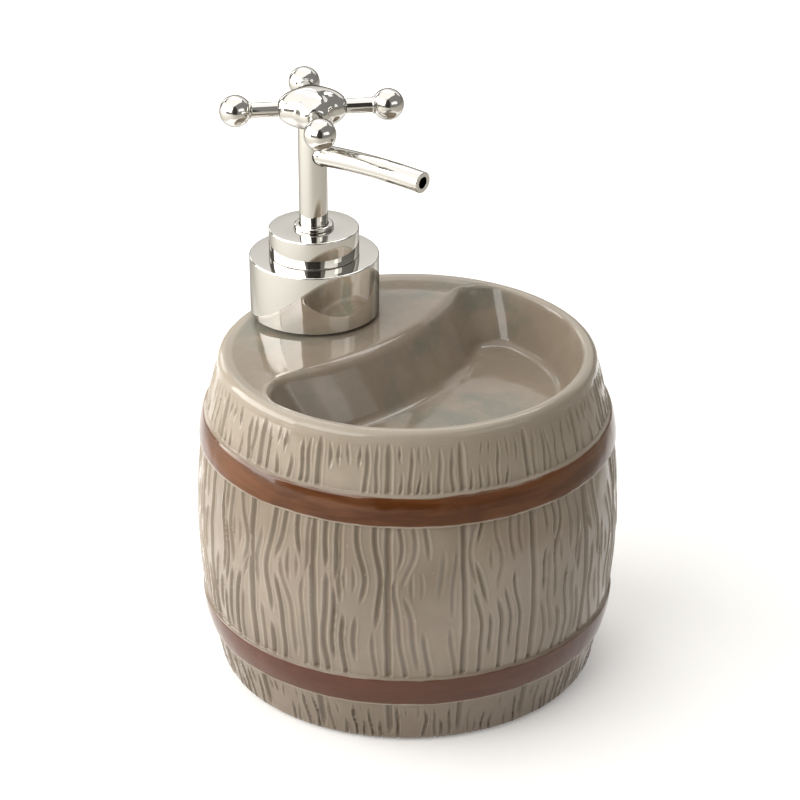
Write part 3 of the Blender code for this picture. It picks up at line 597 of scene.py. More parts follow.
def make_barrel():
    heights = side_heights()
    radius, carved = carved_side(heights, np.random.default_rng(GRAIN_SEED))
    side = np.stack([barrel_ring(radius[i], z) for i, z in enumerate(heights)])
    foot = foot_rings(radius[0], heights[0])
    rim, well = rim_rings(radius[-1]), well_rings()
    middle = np.array([WELL_FLOOR_MIDDLE_X, 0, WELL_FLOOR_Z])
    bottom = [middle + (well[-1] - middle) * share for share in (0.85, 0.65, 0.4, 0.15)]
    top = np.stack(rim + platform_rings(rim[-1], well[0]) + well + bottom)
    wobble = 0.05 * np.sin(top[..., 0] / 5.1 + 1.0) * np.cos(top[..., 1] / 6.3)
    top[..., 2] += wobble * smoothstep((52.0 - np.hypot(top[..., 0], top[..., 1])) / 4)
    rings = np.concatenate([np.stack(foot), side, top])
    barrel = closed_loft("barrel_glazed", rings, (0, 0, FOOT_RECESS), tuple(middle))
    depth = np.zeros(len(barrel.data.vertices), np.float32)
    first = len(foot) * COLUMNS
    depth[first : first + carved.size] = (-carved / 0.7).ravel()
    carve = barrel.data.attributes.new("carve", "FLOAT", "POINT")
    carve.data.foreach_set("value", depth)
    hollow_out(barrel)
    return sharpen(barrel, 60)


def hollow_out(barrel):
    """Cuts the mouth and the reservoir, whose walls show when the pump is lifted out."""
    low = RESERVOIR_FLOOR_Z
    side = [(side_radius(z) - WALL, z, 0) for z in np.linspace(low + 3, RESERVOIR_TOP_Z - 2.5, 12)]
    outline = [(0, low, 0), (side_radius(10) - WALL - 3, low, 0), *side]
    outline += [(side_radius(70) - WALL - 2.5, RESERVOIR_TOP_Z, 0), (0, RESERVOIR_TOP_Z, 0)]
    cut_away(barrel, turned("reservoir_cutter", outline, (0, 0), 96))
    cut_away(barrel, tower_cutter())
    mouth = [(0, 80, 0), (MOUTH_R, 80, 0), (MOUTH_R, 104, 0), (0, 104, 0)]
    cut_away(barrel, turned("mouth_cutter", mouth, (PUMP_X, 0), 96))


def tower_cutter():
    """The reservoir's upper part, behind the divider and under the platform."""
    centre = TOWER_ARC_R - TOWER_X
    meet_x = (TOWER_ARC_R**2 - TOWER_R**2 - centre**2) / (2 * centre)
    meet = acos(meet_x / TOWER_R)
    back = np.linspace(meet, tau - meet, 48)
    half = asin(TOWER_R * sin(meet) / TOWER_ARC_R)
    front = np.linspace(-half, half, 18)[1:-1]
    x = np.concatenate([TOWER_R * np.cos(back), TOWER_ARC_R * np.cos(front) - centre])
    y = np.concatenate([TOWER_R * np.sin(back), TOWER_ARC_R * np.sin(front)])
    levels = RESERVOIR_TOP_Z - 3, TOWER_TOP_Z
    rings = np.stack([np.stack([x, y, np.full_like(x, z)], -1) for z in levels])
    return closed_loft("tower_cutter", rings, *((x.mean(), 0.0, z) for z in levels))


# ---- materials


class Shader:
    """A material under construction: short calls that add and join its nodes."""

    def __init__(self, name):
        self.material = bpy.data.materials.new(name)
        self.material.use_nodes = True
        self.tree = self.material.node_tree
        self.surface = self.tree.nodes["Principled BSDF"]

    def join(self, value, socket):
        """A number, a direction, a colour or another node's output into a socket."""
        if isinstance(value, bpy.types.NodeSocket):
            self.tree.links.new(value, socket)
        else:
            socket.default_value = (*value, 1.0) if socket.type == "RGBA" else value

    def put(self, name, value):
        self.join(value, self.surface.inputs[name])

    def node(self, kind, output, inputs=None, **settings):
        """An output of a new node, whose inputs come by their names or numbers."""
        node = self.tree.nodes.new("ShaderNode" + kind)
        for name, value in settings.items():
            setattr(node, name, value)
        for name, value in (inputs or {}).items():
            self.join(value, node.inputs[name])
        return node.outputs[output]

    def place(self):
        return self.node("TexCoord", "Object")

    def along(self, direction):
        """The distance in metres along a direction."""
        inputs = {0: self.place(), 1: direction}
        return self.node("VectorMath", "Value", inputs, operation="DOT_PRODUCT")

    def from_axis(self):
        """The distance in metres from the Z axis."""
        inputs = {0: self.place(), 1: (1, 1, 0)}
        flat = self.node("VectorMath", "Vector", inputs, operation="MULTIPLY")
        return self.node("VectorMath", "Value", {0: flat}, operation="LENGTH")

    def noise(self, scale, detail=3.0, roughness=0.55, stretch=None):
        """Noise whose scale is in features per metre."""
        place = self.place()
        if stretch:
            place = self.node("Mapping", "Vector", {"Vector": place, "Scale": stretch})
        inputs = {"Vector": place, "Scale": scale, "Detail": detail, "Roughness": roughness}
        return self.node("TexNoise", "Fac", inputs)

    def span(self, value, low, high, to_low=0.0, to_high=1.0):
        """A smooth step from to_low, where value is low, to to_high, where it is high."""
        inputs = dict(enumerate((value, low, high, to_low, to_high)))
        return self.node("MapRange", "Result", inputs, interpolation_type="SMOOTHSTEP")

    def maths(self, operation, first, second):
        return self.node("Math", "Value", {0: first, 1: second}, operation=operation)

    def times(self, first, second):
        return self.maths("MULTIPLY", first, second)

    def mix(self, share, first, second):
        """Two colours mixed: share is how much of the second."""
        return self.node("Mix", 2, {0: share, 6: first, 7: second}, data_type="RGBA")

    def bump(self, height, distance, strength=1.0):
        inputs = {"Height": height, "Distance": distance, "Strength": strength}
        return self.node("Bump", "Normal", inputs)

    def finish(self, colour, roughness, normal=None):
        self.put("Base Color", colour)
        self.put("Roughness", roughness)
        if normal:
            self.put("Normal", normal)
        return self.material


def glaze_body(glaze, height):
    """Taupe glaze: patchy, cooler on top, pale where it runs thin, and darker in the grooves, partly
    from pooled glaze and partly as painted shade. Painted highlight lightens the rim's crest, painted
    light lightens the side above the upper band, and painted shade darkens the side towards the foot.
    """
    patches = glaze.span(glaze.noise(34, 4, 0.6), 0.36, 0.66)
    body = glaze.mix(patches, GLAZE["deep"], GLAZE["usual"])
    radius = glaze.from_axis()
    cool = glaze.span(glaze.noise(31, 5, 0.62), 0.47, 0.64, 0.0, 0.75)
    carve = glaze.node("Attribute", "Fac", attribute_name="carve")
    near_rim = glaze.span(radius, 0.0484, 0.0496)
    outside = glaze.span(radius, 0.0500, 0.0520)
    # glaze tones together with painted light and shade: groove shade, rim highlight, lighter upper
    # side, darker foot
    coats_and_painted_light = {
        "rosy": glaze.span(glaze.noise(60, 4, 0.6), 0.50, 0.72, 0.0, 0.55),
        "cool": glaze.times(cool, glaze.span(radius, 0.0510, 0.0470)),
        # darker in the grooves: partly pooled glaze, partly painted shade
        "pooled_and_groove_shade": glaze.span(carve, 0.12, 0.95, 0.0, 0.46),
        "thin": glaze.span(carve, -0.04, -0.22, 0.0, 0.30),
        "speck": glaze.span(glaze.noise(900, 1, 0.4), 0.735, 0.77, 0.0, 0.35),
        # painted highlight: the rim's crest lighter
        "rim": glaze.times(near_rim, glaze.span(height, 0.0922, 0.0946, 0.0, 0.5)),
        # painted light: the side above the upper band lighter
        "upper": glaze.times(outside, glaze.span(height, 0.0760, 0.0830, 0.0, 0.5)),
        # painted shade: darker towards the bottom
        "foot": glaze.span(height, 0.040, 0.006, 0.0, 0.6),
    }
    for name, share in coats_and_painted_light.items():
        body = glaze.mix(share, body, GLAZE[name])
    return body


def brown_paint(glaze, height):
    """The bands' brown: brushed streaks and darker blotches, with the lower band a deeper brown as
    painted shade near the floor.
    """
    streaks = glaze.span(glaze.noise(34, 5, 0.6, (1.0, 1.0, 7.0)), 0.33, 0.66)
    brown = glaze.mix(streaks, PAINT["deep"], PAINT["usual"])
    blotch = glaze.span(glaze.noise(42, 4, 0.6), 0.50, 0.70, 0.0, 0.6)
    brown = glaze.mix(blotch, brown, PAINT["blotch"])
    # painted shade: the lower band a deeper brown, near the floor
    return glaze.mix(glaze.span(height, 0.05, 0.03, 0.0, 0.72), brown, PAINT["lower"])


def glaze_material():
    """Glossy taupe glaze with painted brown bands, each with a pale line along its lower edge."""
    glaze = Shader("glaze")
    height = glaze.node("SeparateXYZ", "Z", {0: glaze.place()})
    body = glaze_body(glaze, height)
    wander = glaze.times(glaze.maths("SUBTRACT", glaze.noise(110, 2), 0.5), 0.0009)
    wavy = glaze.maths("ADD", height, wander)
    paint = 0.0
    for low, high in BANDS:
        rise = glaze.span(wavy, (low + 0.75) * MM, (low + 1.15) * MM)
        fall = glaze.span(wavy, (high - 0.45) * MM, (high - 0.90) * MM)
        paint = glaze.maths("MAXIMUM", paint, glaze.times(rise, fall))
        line_up = glaze.span(wavy, (low - 0.25) * MM, (low + 0.1) * MM)
        line_down = glaze.span(wavy, (low + 1.0) * MM, (low + 0.7) * MM)
        line = glaze.times(glaze.times(line_up, line_down), 0.6)
        body = glaze.mix(line, body, GLAZE["line"])
    colour = glaze.mix(paint, body, brown_paint(glaze, height))
    ripple = glaze.bump(glaze.noise(95, 2), 0.00022, 0.35)
    satin = glaze.span(glaze.noise(130, 3), 0.3, 0.75, 0.06, 0.12)
    glaze.put("IOR", 1.48)
    return glaze.finish(colour, satin, ripple)


def chrome_material():
    """Warm chrome, which the specular tint makes darker towards its outlines."""
    chrome = Shader("chrome")
    tint = chrome.mix(chrome.noise(20, 1), (0.79, 0.775, 0.74), (0.82, 0.805, 0.77))
    roughness = chrome.span(chrome.noise(240, 3), 0.35, 0.7, 0.028, 0.055)
    normal = chrome.bump(chrome.noise(120, 2), 0.00004, 0.25)
    chrome.put("Metallic", 1.0)
    chrome.put("Specular Tint", (0.30, 0.29, 0.27))
    return chrome.finish(tint, roughness, normal)


def plastic_material(name, colour, darker, roughness):
    """Moulded plastic that lets a little light in."""
    plastic = Shader(name)
    tint = plastic.mix(plastic.span(plastic.noise(60, 3), 0.3, 0.7), darker, colour)
    spread = plastic.span(plastic.noise(500, 3), 0.3, 0.7, roughness - 0.05, roughness + 0.06)
    plastic.put("Subsurface Weight", 0.15)
    plastic.put("Subsurface Radius", (0.004, 0.004, 0.004))
    return plastic.finish(tint, spread, plastic.bump(plastic.noise(1600, 2), 0.00003, 0.3))


def gasket_material():
    """Matt grey foam."""
    gasket = Shader("gasket")
    cells = gasket.noise(2600, 3, 0.6)
    tint = gasket.mix(cells, (0.40, 0.41, 0.42), (0.58, 0.59, 0.60))
    return gasket.finish(tint, 0.8, gasket.bump(cells, 0.00006, 0.5))


def steel_material(name, roughness, drawn):
    """Bare steel, with finer marks the larger drawn is."""
    steel = Shader(name)
    tint = steel.mix(steel.noise(900, 2), (0.52, 0.52, 0.51), (0.62, 0.62, 0.61))
    spread = steel.span(steel.noise(drawn, 3), 0.3, 0.7, roughness * 0.8, roughness * 1.25)
    steel.put("Metallic", 1.0)
    return steel.finish(tint, spread, steel.bump(steel.noise(drawn, 2), 0.00001, 0.2))


# ---- pump


def cap_outline(outer, skin, low, top, hole):
    """A thin cap, open below, with a round hole in its top."""
    inner, under = outer - skin, top - skin
    outline = [(inner, low, 0.1), (outer, low, 0.2), (outer, top, 0.42)]
    return outline + [(hole, top, 0.12), (hole, under, 0.1), (inner, under, 0.2)]


def tube_outline(bore, outer, low, high, edge=0.15):
    return [(bore, low, edge), (outer, low, edge), (outer, high, edge), (bore, high, edge)]


def make_closure():
    """The large chrome cap and the threaded ring inside it, whose thread is left plain."""
    _, radius, low, top = node_span("closure_shell")
    shell = turned("closure_cap", cap_outline(radius, 0.9, low, top, 9.2), steps=192)
    _, ring_r, ring_low, ring_top = node_span("closure_thread_ring")
    outline = [(13.9, ring_low, 0.2), (ring_r, ring_low, 0.15), (ring_r, ring_top, 0.15)]
    outline += [(9.4, ring_top, 0.15), (9.4, SEAT_Z, 0.15), (13.9, SEAT_Z, 0.2)]
    return shell, turned("closure_ring", outline)


def make_collars():
    """The small chrome cap, let down onto the large one, and the lipped ring on top of it."""
    _, radius, low, top = node_span("upper_collar")
    low -= 0.24  # closes the gap over the large cap
    collar = turned("collar_cap", cap_outline(radius, 0.8, low, top, 5.1), steps=160)
    _, lip_r, guide_low, guide_top = node_span("guide_ring")
    lip_low = top + 0.04
    outline = [(4.2, guide_low, 0.05), (5.05, guide_low, 0.1), (5.05, lip_low, 0)]
    outline += [(lip_r, lip_low, 0.1), (lip_r, guide_top, 0.6), (4.2, guide_top, 0.12)]
    return collar, turned("guide_lip", outline)


def make_chaplet():
    """The nut that closes the housing: a sleeve, a flange and a neck for the small cap."""
    low, top = node_span("chaplet")[2:]
    bore, flange, lip = 4.35, 115.1, 119.2
    outline = [(bore, low, 0.15), (5.3, low, 0.15), (5.3, SEAT_Z, 0.1), (8.9, SEAT_Z, 0.15)]
    outline += [(8.9, flange, 0.1), (11.6, flange, 0.2), (11.6, flange + 2, 0.2)]
    outline += [(8.9, flange + 2, 0.15), (8.9, top, 0.2), (5.35, top, 0.1), (5.35, lip, 0.1)]
    return turned("lock_nut", outline + [(bore, lip, 0.1)])


def make_neck():
    """The neck insert with its thread, which starts above the flange."""
    _, flange_r, low, top = node_span("neck_insert")
    bore, neck_r, sleeve_r, flange_z = 10.8, 12.4, 13.2, 97.0
    flange_top = flange_z + 1.3
    outline = [(bore, low, 0.2), (sleeve_r, low, 0.3), (sleeve_r, flange_z, 0.1)]
    outline += [(flange_r, flange_z, 0.2), (flange_r, flange_top, 0.4), (neck_r, flange_top, 0.4)]
    outline += [(neck_r, top, 0.3), (bore, top, 0.3)]
    neck = turned("neck_threaded", outline, steps=144)
    cut_away(neck, thread_ridge(flange_z + 3.3), "UNION")
    return sharpen(neck, 40)


def thread_ridge(start_z, crest_r=13.5, root_r=12.4, pitch=4.2, turns=1.6, per_turn=120):
    """One screw thread that rises and fades out at both ends."""
    count = int(per_turn * turns)
    t = np.arange(count + 1)
    fade = np.minimum(1.0, np.minimum(0.2 + t / 24, 0.2 + (count - t) / 24))[:, None]
    crest = root_r + (crest_r - root_r) * fade
    flank, low = crest - 0.25 * fade, np.full_like(crest, root_r - 0.4)
    reach = np.concatenate([low, flank, crest, crest, flank, low], 1)
    fall = np.array([-0.95, -0.5, -0.28, 0.28, 0.5, 0.95])[None, :]
    angle = (tau * t / per_turn)[:, None]
    z = start_z + (pitch * t / per_turn)[:, None] + fall
    rings = np.stack([PUMP_X + reach * np.cos(angle), reach * np.sin(angle), z], -1)
    first, last = tuple(rings[0].mean(0)), tuple(rings[-1].mean(0))
    return closed_loft("thread_cutter", rings[:, ::-1], first, last)


def make_housing():
    """The cylinder: flange, barrel, taper, ball seat and the socket of the dip tube."""
    _, flange_r, low, top = node_span("pump_housing")
    bore, outer, flange_z, ledge, seat_z, socket_z = 5.6, 6.6, 110.6, 65.1, 60.8, 58.6
    outline = [(bore, ledge, 0.1), (bore, top, 0.25), (flange_r, top, 0.25)]
    outline += [(flange_r, flange_z, 0.25), (outer, flange_z, 0.3), (outer, ledge - 1.5, 0.8)]
    outline += [(4.2, ledge - 5.0, 0.6), (4.2, low, 0.3), (2.9, low, 0.15), (2.9, socket_z, 0.1)]
    outline += [(1.5, socket_z, 0.05), (1.5, seat_z, 0.05), (2.5, seat_z + 1.0, 0.1)]
    outline += [(2.5, ledge, 0.1)]
    housing = turned("housing_moulded", outline)
    cut_away(housing, rod_between("vent_cutter", 0.6, (PUMP_X, 4, 106), (PUMP_X, 8, 106)))
    return sharpen(housing, 40)


def rod_between(name, radius, start, end, steps=48):
    """A plain rod between two points, which cuts round holes."""
    start, end = Vector(start), Vector(end)
    along = (end - start).normalized()
    side = along.orthogonal().normalized()
    up = along.cross(side)
    angle = np.arange(steps) * tau / steps
    circle = np.outer(np.cos(angle), side) + np.outer(np.sin(angle), up)
    rings = np.stack([np.array(start) + radius * circle, np.array(end) + radius * circle])
    return closed_loft(name, rings, tuple(start), tuple(end))


def make_small_turned():
    """The cartridge's plain turned pieces, by CAD node."""
    sizes = {
        "housing_gasket": ("gasket_sheet", 6.9, 0.1, 112),
        "dip_tube": ("dip_tube_drawn", 1.9, 0.08, 72),
        "ball_retainer": ("retainer_disc", 1.5, 0.15, 72),
    }
    pieces = {}
    for node, (name, bore, edge, steps) in sizes.items():
        outline = tube_outline(bore, *node_span(node)[1:], edge)
        pieces[node] = turned(name, outline, steps=steps)
    return pieces


def make_check_ball():
    x, radius, low, high = node_span("check_ball")
    middle = (low + high) / 2
    outline = [(0, low, 0)]
    for turn in np.radians(np.linspace(-90, 90, 41)[1:-1]):
        outline.append((radius * cos(turn), middle + radius * sin(turn), 0))
    return turned("valve_ball", outline + [(0, high, 0)], (x, 0), 72)


def make_spring():
    """Wire wound in six turns, with the end turns closed."""
    low, high = node_span("return_spring")[2:]
    wire, mean, turns, per_turn = 0.45, 3.7, 6.0, 64
    count = int(per_turn * turns)
    share = np.arange(count + 1) / count
    rise, end_turn = high - low - 2 * wire, 1 / turns
    step = (2 * wire + 0.15) / rise
    height = step + (1 - 2 * step) * (share - end_turn) / (1 - 2 * end_turn)
    height = np.where(share < end_turn, step * share / end_turn, height)
    height = np.where(share > 1 - end_turn, 1 - step * (1 - share) / end_turn, height)
    angle = tau * turns * share
    z = low + wire + rise * height
    centre = np.stack([PUMP_X + mean * np.cos(angle), mean * np.sin(angle), z], -1)
    along = np.gradient(centre, axis=0)
    along /= np.linalg.norm(along, axis=1)[:, None]
    out = np.stack([np.cos(angle), np.sin(angle), np.zeros_like(angle)], -1)
    up = np.cross(along, out)
    turn = (np.arange(20) * tau / 20)[None, :, None]
    rings = centre[:, None] + wire * (out[:, None] * np.cos(turn) + up[:, None] * np.sin(turn))
    return sharpen(closed_loft("spring_wound", rings, tuple(centre[0]), tuple(centre[-1])), 60)


def make_rod():
    """The hollow rod that carries the head: inlet port, stop and shoulder."""
    low, top = node_span("piston_rod")[2:]
    stop, plug, bore, bore_z = 100.3, 103.2, 1.2, 94.4
    outline = [(0, low, 0), (2.1, low, 0.2), (2.1, stop, 0.1), (4.9, stop, 0.25), (4.9, plug, 0.25)]
    outline += [(3.2, plug, 0.15), (3.2, SEAT_Z, 0.2), (2.1, SEAT_Z, 0.15), (2.1, top, 0.2)]
    outline += [(bore, top, 0.1), (bore, bore_z, 0.1), (0, bore_z, 0)]
    rod = turned("piston_stem", outline, steps=72)
    cut_away(rod, rod_between("port_cutter", 0.8, (PUMP_X, -3, 95.2), (PUMP_X, 3, 95.2)))
    return sharpen(rod, 40)


def make_piston():
    """The seal, with a lip at each end."""
    _, lip, low, top = node_span("piston")
    sleeve, inner, waist = PISTON_BORE + 0.8, lip - 0.5, lip - 0.3
    outline = [(PISTON_BORE, low, 0.1), (sleeve, low, 0.1), (sleeve, low + 1.4, 0.2)]
    outline += [(inner, low + 0.4, 0.1), (lip, low, 0.05), (waist, low + 2.4, 0.5)]
    outline += [(waist, top - 2.0, 0.5), (lip, top, 0.05), (inner, top - 0.3, 0.1)]
    outline += [(sleeve, top - 1.4, 0.2), (sleeve, top, 0.1), (PISTON_BORE, top, 0.1)]
    return turned("piston_moulded", outline, steps=96)


def make_piston_foot():
    """The plug under the piston, with a socket for the rod's end."""
    _, radius, low, top = node_span("piston_foot")
    socket_z = node_span("piston_rod")[2] - 0.3
    outline = [(0, low, 0), (radius - 0.6, low, 0.2), (radius, low + 1, 0.3)]
    outline += [(radius, top - 0.8, 0.2), (radius - 0.8, top, 0.1), (PISTON_BORE, top, 0.1)]
    outline += [(PISTON_BORE, socket_z, 0.1), (0, socket_z, 0)]
    return turned("piston_cap", outline, steps=72)


# ---- head


def make_stem():
    """The chrome tube, with the hole that the spout's root goes into."""
    _, radius, low, top = node_span("stem_tube")
    outline = tube_outline(radius - 1.65, radius, low, top, 0.12)
    stem = turned("stem_polished", outline, steps=144)
    rise = tan(SPOUT_RISE)
    ends = [(PUMP_X + x, 0, SPOUT_Z + (x - STEM_R) * rise) for x in (0.5, 8.0)]
    cut_away(stem, rod_between("spout_hole_cutter", SPOUT_R + 0.12, *ends, steps=96))
    return sharpen(stem, 40)


def spout_rows(along):
    """The skin's rows as (station, radius, shift): along the tube, round its lip, up its bore."""
    tip, lip, edge = len(along) - 1, 0.3, 0.15
    bead = np.where(along > 4.05, 0.28 * np.clip(1 - (along - 4.0) / 0.9, 0, 1) ** 2, 0)
    rows = [(i, SPOUT_R + bead[i], 0.0) for i in range(tip)]
    for turn in np.linspace(0, pi / 2, 6):
        rows.append((tip, SPOUT_R - lip + lip * cos(turn), lip * sin(turn) - lip))
    for turn in np.linspace(0, pi / 2, 5):
        reach = SPOUT_BORE_R + edge - edge * sin(turn)
        rows.append((tip, reach, edge * cos(turn) - edge))
    return rows + [(i, SPOUT_BORE_R, 0.0) for i in range(tip - 1, -1, -1)]


def make_spout(steps=72):
    """A bent tube with a rounded lip, a bore, and the bead that joins it to the stem."""
    along = [[SPOUT_ROOT], np.linspace(4.1, 6.0, 14), np.linspace(6.6, SPOUT_REACH, 64)]
    along = np.concatenate(along)
    share = (along - SPOUT_ROOT) / (SPOUT_REACH - SPOUT_ROOT)
    slope = SPOUT_RISE + (SPOUT_DROP - SPOUT_RISE) * share
    rises = np.diff(along) * np.tan((slope[1:] + slope[:-1]) / 2)
    root_z = SPOUT_Z + (SPOUT_ROOT - STEM_R) * tan(SPOUT_RISE)
    z = root_z + np.concatenate([[0], np.cumsum(rises)])
    turn = np.arange(steps) * tau / steps
    rings = []
    for i, radius, shift in spout_rows(along):
        tangent = np.array([cos(slope[i]), 0, sin(slope[i])])
        side, up = np.array([0, 1.0, 0]), np.array([-tangent[2], 0, tangent[0]])
        centre = np.array([PUMP_X + along[i], 0, z[i]]) + tangent * shift
        rings.append(centre + radius * (np.outer(np.cos(turn), side) + np.outer(np.sin(turn), up)))
    quads = ring_quads(len(rings), steps, True)
    return sharpen(mesh_object("spout_bent", np.concatenate(rings), quads), 50)


def hub_reach(direction):
    """How far the hub's skin is along unit vectors: two crossed egg shapes, softly joined."""
    power, total, limit = 16.0, 0.0, 99.0
    for name in ("front_left", "rear_left"):
        a = radians(ARM_ANGLES[name])
        along = np.abs(direction[:, 0] * cos(a) + direction[:, 1] * sin(a))
        lobe = 1 / np.sqrt((along / HUB_LOBE_LENGTH) ** 2 + (1 - along**2) / HUB_LOBE_R**2)
        total = total + lobe**power
        limit = np.minimum(limit, HUB_NECK_END / np.clip(along, 0.1, 1))
    reach = total ** (1 / power)
    crossing = 2 ** (1 / power)
    reach = reach / (1 + (crossing - 1) * (HUB_LOBE_R / reach) ** 12)
    return (reach**-60.0 + limit**-60.0) ** (-1 / 60.0)


def make_hub(rows=159, columns=320):
    """The cast hub, bored for the stem and for each arm's tenon."""
    lat = np.radians(np.linspace(-90, 90, rows + 2)[1:-1])[:, None]
    lon = (np.arange(columns) * tau / columns)[None, :]
    x, y = np.cos(lat) * np.cos(lon), np.cos(lat) * np.sin(lon)
    direction = np.stack([x, y, np.broadcast_to(np.sin(lat), x.shape)], -1).reshape(-1, 3)
    centre = np.array([PUMP_X, 0, HUB_Z])
    rings = (centre + direction * hub_reach(direction)[:, None]).reshape(rows, columns, 3)
    down, up = hub_reach(np.array([[0, 0, -1.0], [0, 0, 1.0]]))
    hub = closed_loft("hub_cast", rings, (PUMP_X, 0, HUB_Z - down), (PUMP_X, 0, HUB_Z + up))
    bore = (PUMP_X, 0, HUB_Z - 9), (PUMP_X, 0, HUB_BORE_Z)
    cut_away(hub, rod_between("hub_bore_cutter", STEM_R + 0.15, *bore, 96))
    for angle in ARM_ANGLES.values():
        out = Vector((cos(radians(angle)), sin(radians(angle)), 0))
        start = Vector(centre) + out * (HUB_NECK_END - 3.3)
        cut_away(hub, rod_between("tenon_cutter", 1.45, start, start + out * 5))
    return sharpen(hub, 45)


def make_arms():
    """Four turned arms: tenon, rod, thin ring and ball."""
    reach, ball_r, rod_r, ring_r, ring_at = 21.2, 4.45, 2.1, 2.45, 17.0
    tenon_r, tenon_end, root = 1.2, HUB_NECK_END - 3.0, HUB_NECK_END + 0.12
    outline = [(0, tenon_end, 0), (tenon_r, tenon_end, 0.1), (tenon_r, root, 0.05)]
    outline += [(rod_r, root, 0.12), (rod_r, ring_at - 0.2, 0.3), (ring_r, ring_at, 0.12)]
    outline += [(ring_r, ring_at + 0.4, 0.1)]
    start = asin((ring_r - 0.15) / ball_r) - radians(88.5)
    for turn in np.linspace(start, radians(89), 56):
        outline.append((ball_r * cos(turn), reach + ball_r * sin(turn), 0))
    outline.append((0, reach + ball_r, 0))
    arms = {}
    for name, angle in ARM_ANGLES.items():
        arm = turned(f"arm_{name}", outline, (0, 0), 96, 5)
        lay = Matrix.Rotation(radians(angle), 4, "Z") @ Matrix.Rotation(pi / 2, 4, "Y")
        arm.data.transform(Matrix.Translation(Vector((PUMP_X, 0, HUB_Z)) * MM) @ lay)
        arms[f"handle_arm_{name}"] = arm
    return arms


# ---- studio and camera


def make_camera():
    target = Vector((0, 0, TARGET_Z)) - RIGHT * AXIS_SHIFT
    back = -AHEAD * cos(VIEW_ELEVATION) + Vector((0, 0, sin(VIEW_ELEVATION)))
    data = bpy.data.cameras.new("camera")
    data.lens, data.sensor_width = LENS, 36
    data.clip_start, data.clip_end = 0.05, 20
    camera = bpy.data.objects.new("camera", data)
    camera.location = (target + back * VIEW_DISTANCE) * MM
    face(camera, -back)
    bpy.context.scene.camera = camera


def face(item, direction):
    """Turns a camera or a light to look along a direction, and adds it to the scene."""
    item.rotation_mode = "QUATERNION"
    item.rotation_quaternion = direction.to_track_quat("-Z", "Y")
    bpy.context.scene.collection.objects.link(item)


def soft_light(name, aside, ahead, up, width, height, radiance):
    """A soft rectangular light that faces the object, placed as the camera sees it."""
    data = bpy.data.lights.new(name, "AREA")
    data.shape, data.size, data.size_y = "RECTANGLE", width, height
    data.energy = radiance * pi * width * height
    data.color = LIGHT_COLOUR
    light = bpy.data.objects.new(name, data)
    place = RIGHT * aside + AHEAD * ahead + Vector((0, 0, up))
    light.location = place
    face(light, Vector((0, 0, LIGHTS_AIM_Z)) - place)


def make_floor(size=4000.0):
    """A plain floor: white under and behind the object, shading softly into beige further out. The
    beige is darker to the right as painted shade, and the white part glows a little as painted light.
    """
    points = [(-size, -size, 0), (size, -size, 0), (size, size, 0), (-size, size, 0)]
    sheet = mesh_object("floor", np.array(points), [(0, 1, 2, 3)])
    paper = Shader("floor_paper")
    aside, ahead = (paper.along(direction) for direction in (RIGHT, AHEAD))
    widening = paper.times(ahead, -WHITE_SPREAD)
    reach = paper.maths("ADD", paper.maths("ABSOLUTE", aside, 0.0), widening)
    to_sides = paper.span(reach, WHITE_HALF, WHITE_HALF + WHITE_FADE)
    to_front = paper.span(ahead, -WHITE_NEAR, -WHITE_NEAR - WHITE_FADE)
    beige = paper.maths("MAXIMUM", to_sides, to_front)
    white = paper.mix(paper.noise(3, 2), (0.83, 0.825, 0.815), (0.85, 0.845, 0.835))
    # painted shade: the beige floor darker towards the right
    shade_to_right = paper.span(aside, -0.30, 0.05)
    far = paper.mix(shade_to_right, (0.585, 0.570, 0.530), (0.435, 0.415, 0.372))
    # painted light: the white part glows a little, which lifts the shadow round the object
    painted_light_glow = paper.mix(beige, (0.19, 0.19, 0.19), (0.0, 0.0, 0.0))
    paper.put("Emission Color", painted_light_glow)
    paper.put("Emission Strength", 1.0)
    sheet.data.materials.append(paper.finish(paper.mix(beige, white, far), 0.9))


def make_dark_card():
    """A dark stand behind the camera, which the polished pieces show as a small dark shape."""
    right = [(400, 0), (400, 1250), (190, 1500), (190, 2100)]
    outline = right + [(-aside, up) for aside, up in reversed(right)] + [(0, 900)]
    points = [AHEAD * -1300.0 + RIGHT * aside + Vector((0, 0, up)) for aside, up in outline]
    last = len(outline) - 1
    fan = [(i, (i + 1) % last, last) for i in range(last)]
    card = mesh_object("dark_stand", np.array(points), np.zeros((0, 4), int), fan)
    felt = Shader("felt")
    tint = felt.mix(felt.noise(40, 2), (0.012, 0.011, 0.010), (0.03, 0.027, 0.024))
    card.data.materials.append(felt.finish(tint, 0.9))


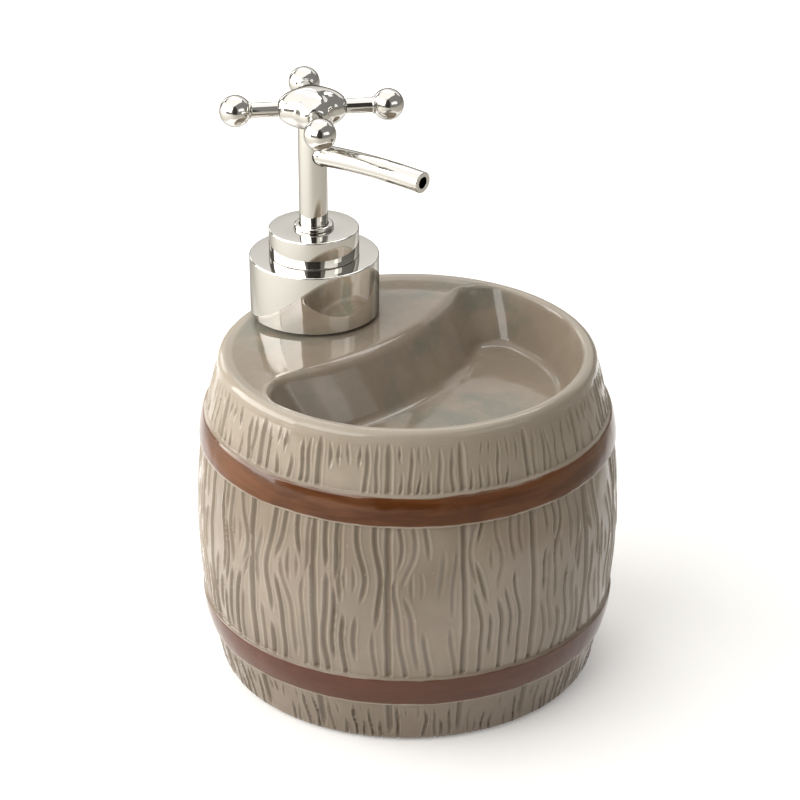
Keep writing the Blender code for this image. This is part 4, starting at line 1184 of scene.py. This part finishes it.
def make_world():
    world = bpy.data.worlds.new("tent")
    world.use_nodes = True
    background = world.node_tree.nodes["Background"]
    background.inputs["Color"].default_value = (1.0, 0.975, 0.93, 1)
    background.inputs["Strength"].default_value = 0.25
    bpy.context.scene.world = world


def make_studio():
    make_world()
    make_floor()
    make_dark_card()
    for name, (place, size, radiance) in LIGHTS.items():
        soft_light(name, *place, *size, radiance)
    bpy.context.scene.view_settings.view_transform = "Standard"


# ---- assembly

RECORD = frame["record"]
PIECE_BODY = {node: body for body, nodes in RECORD["behaviour"]["bodies"].items() for node in nodes}


def stand_for(piece, node, material):
    """The piece takes the CAD node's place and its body."""
    piece.data.materials.clear()
    piece.data.materials.append(material)
    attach(piece, PIECE_BODY[node])
    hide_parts(node)


def make_object():
    chrome = chrome_material()
    white = plastic_material("white_plastic_look", (0.82, 0.82, 0.80), (0.78, 0.78, 0.76), 0.38)
    milky = plastic_material("natural_plastic_look", (0.70, 0.71, 0.68), (0.64, 0.65, 0.62), 0.3)
    stand_for(make_barrel(), "barrel_body", glaze_material())
    stand_for(make_neck(), "neck_insert", white)
    shell, ring = make_closure()
    stand_for(shell, "closure_shell", chrome)
    stand_for(ring, "closure_thread_ring", white)
    collar, guide = make_collars()
    stand_for(collar, "upper_collar", chrome)
    stand_for(guide, "guide_ring", chrome)
    stand_for(make_chaplet(), "chaplet", white)
    stand_for(make_housing(), "pump_housing", milky)
    looks = {"housing_gasket": gasket_material(), "dip_tube": milky, "ball_retainer": white}
    for node, piece in make_small_turned().items():
        stand_for(piece, node, looks[node])
    stand_for(make_check_ball(), "check_ball", steel_material("ball_steel", 0.12, 400))
    spring = make_spring()
    stand_for(spring, "return_spring", steel_material("wire_steel", 0.26, 1500))
    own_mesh(spring)
    stand_for(make_rod(), "piston_rod", white)
    stand_for(make_piston(), "piston", milky)
    stand_for(make_piston_foot(), "piston_foot", white)
    stand_for(make_stem(), "stem_tube", chrome)
    stand_for(make_spout(), "spout", chrome)
    stand_for(make_hub(), "handle_hub", chrome)
    for node, arm in make_arms().items():
        stand_for(arm, node, chrome)


make_object()
make_studio()
make_camera()
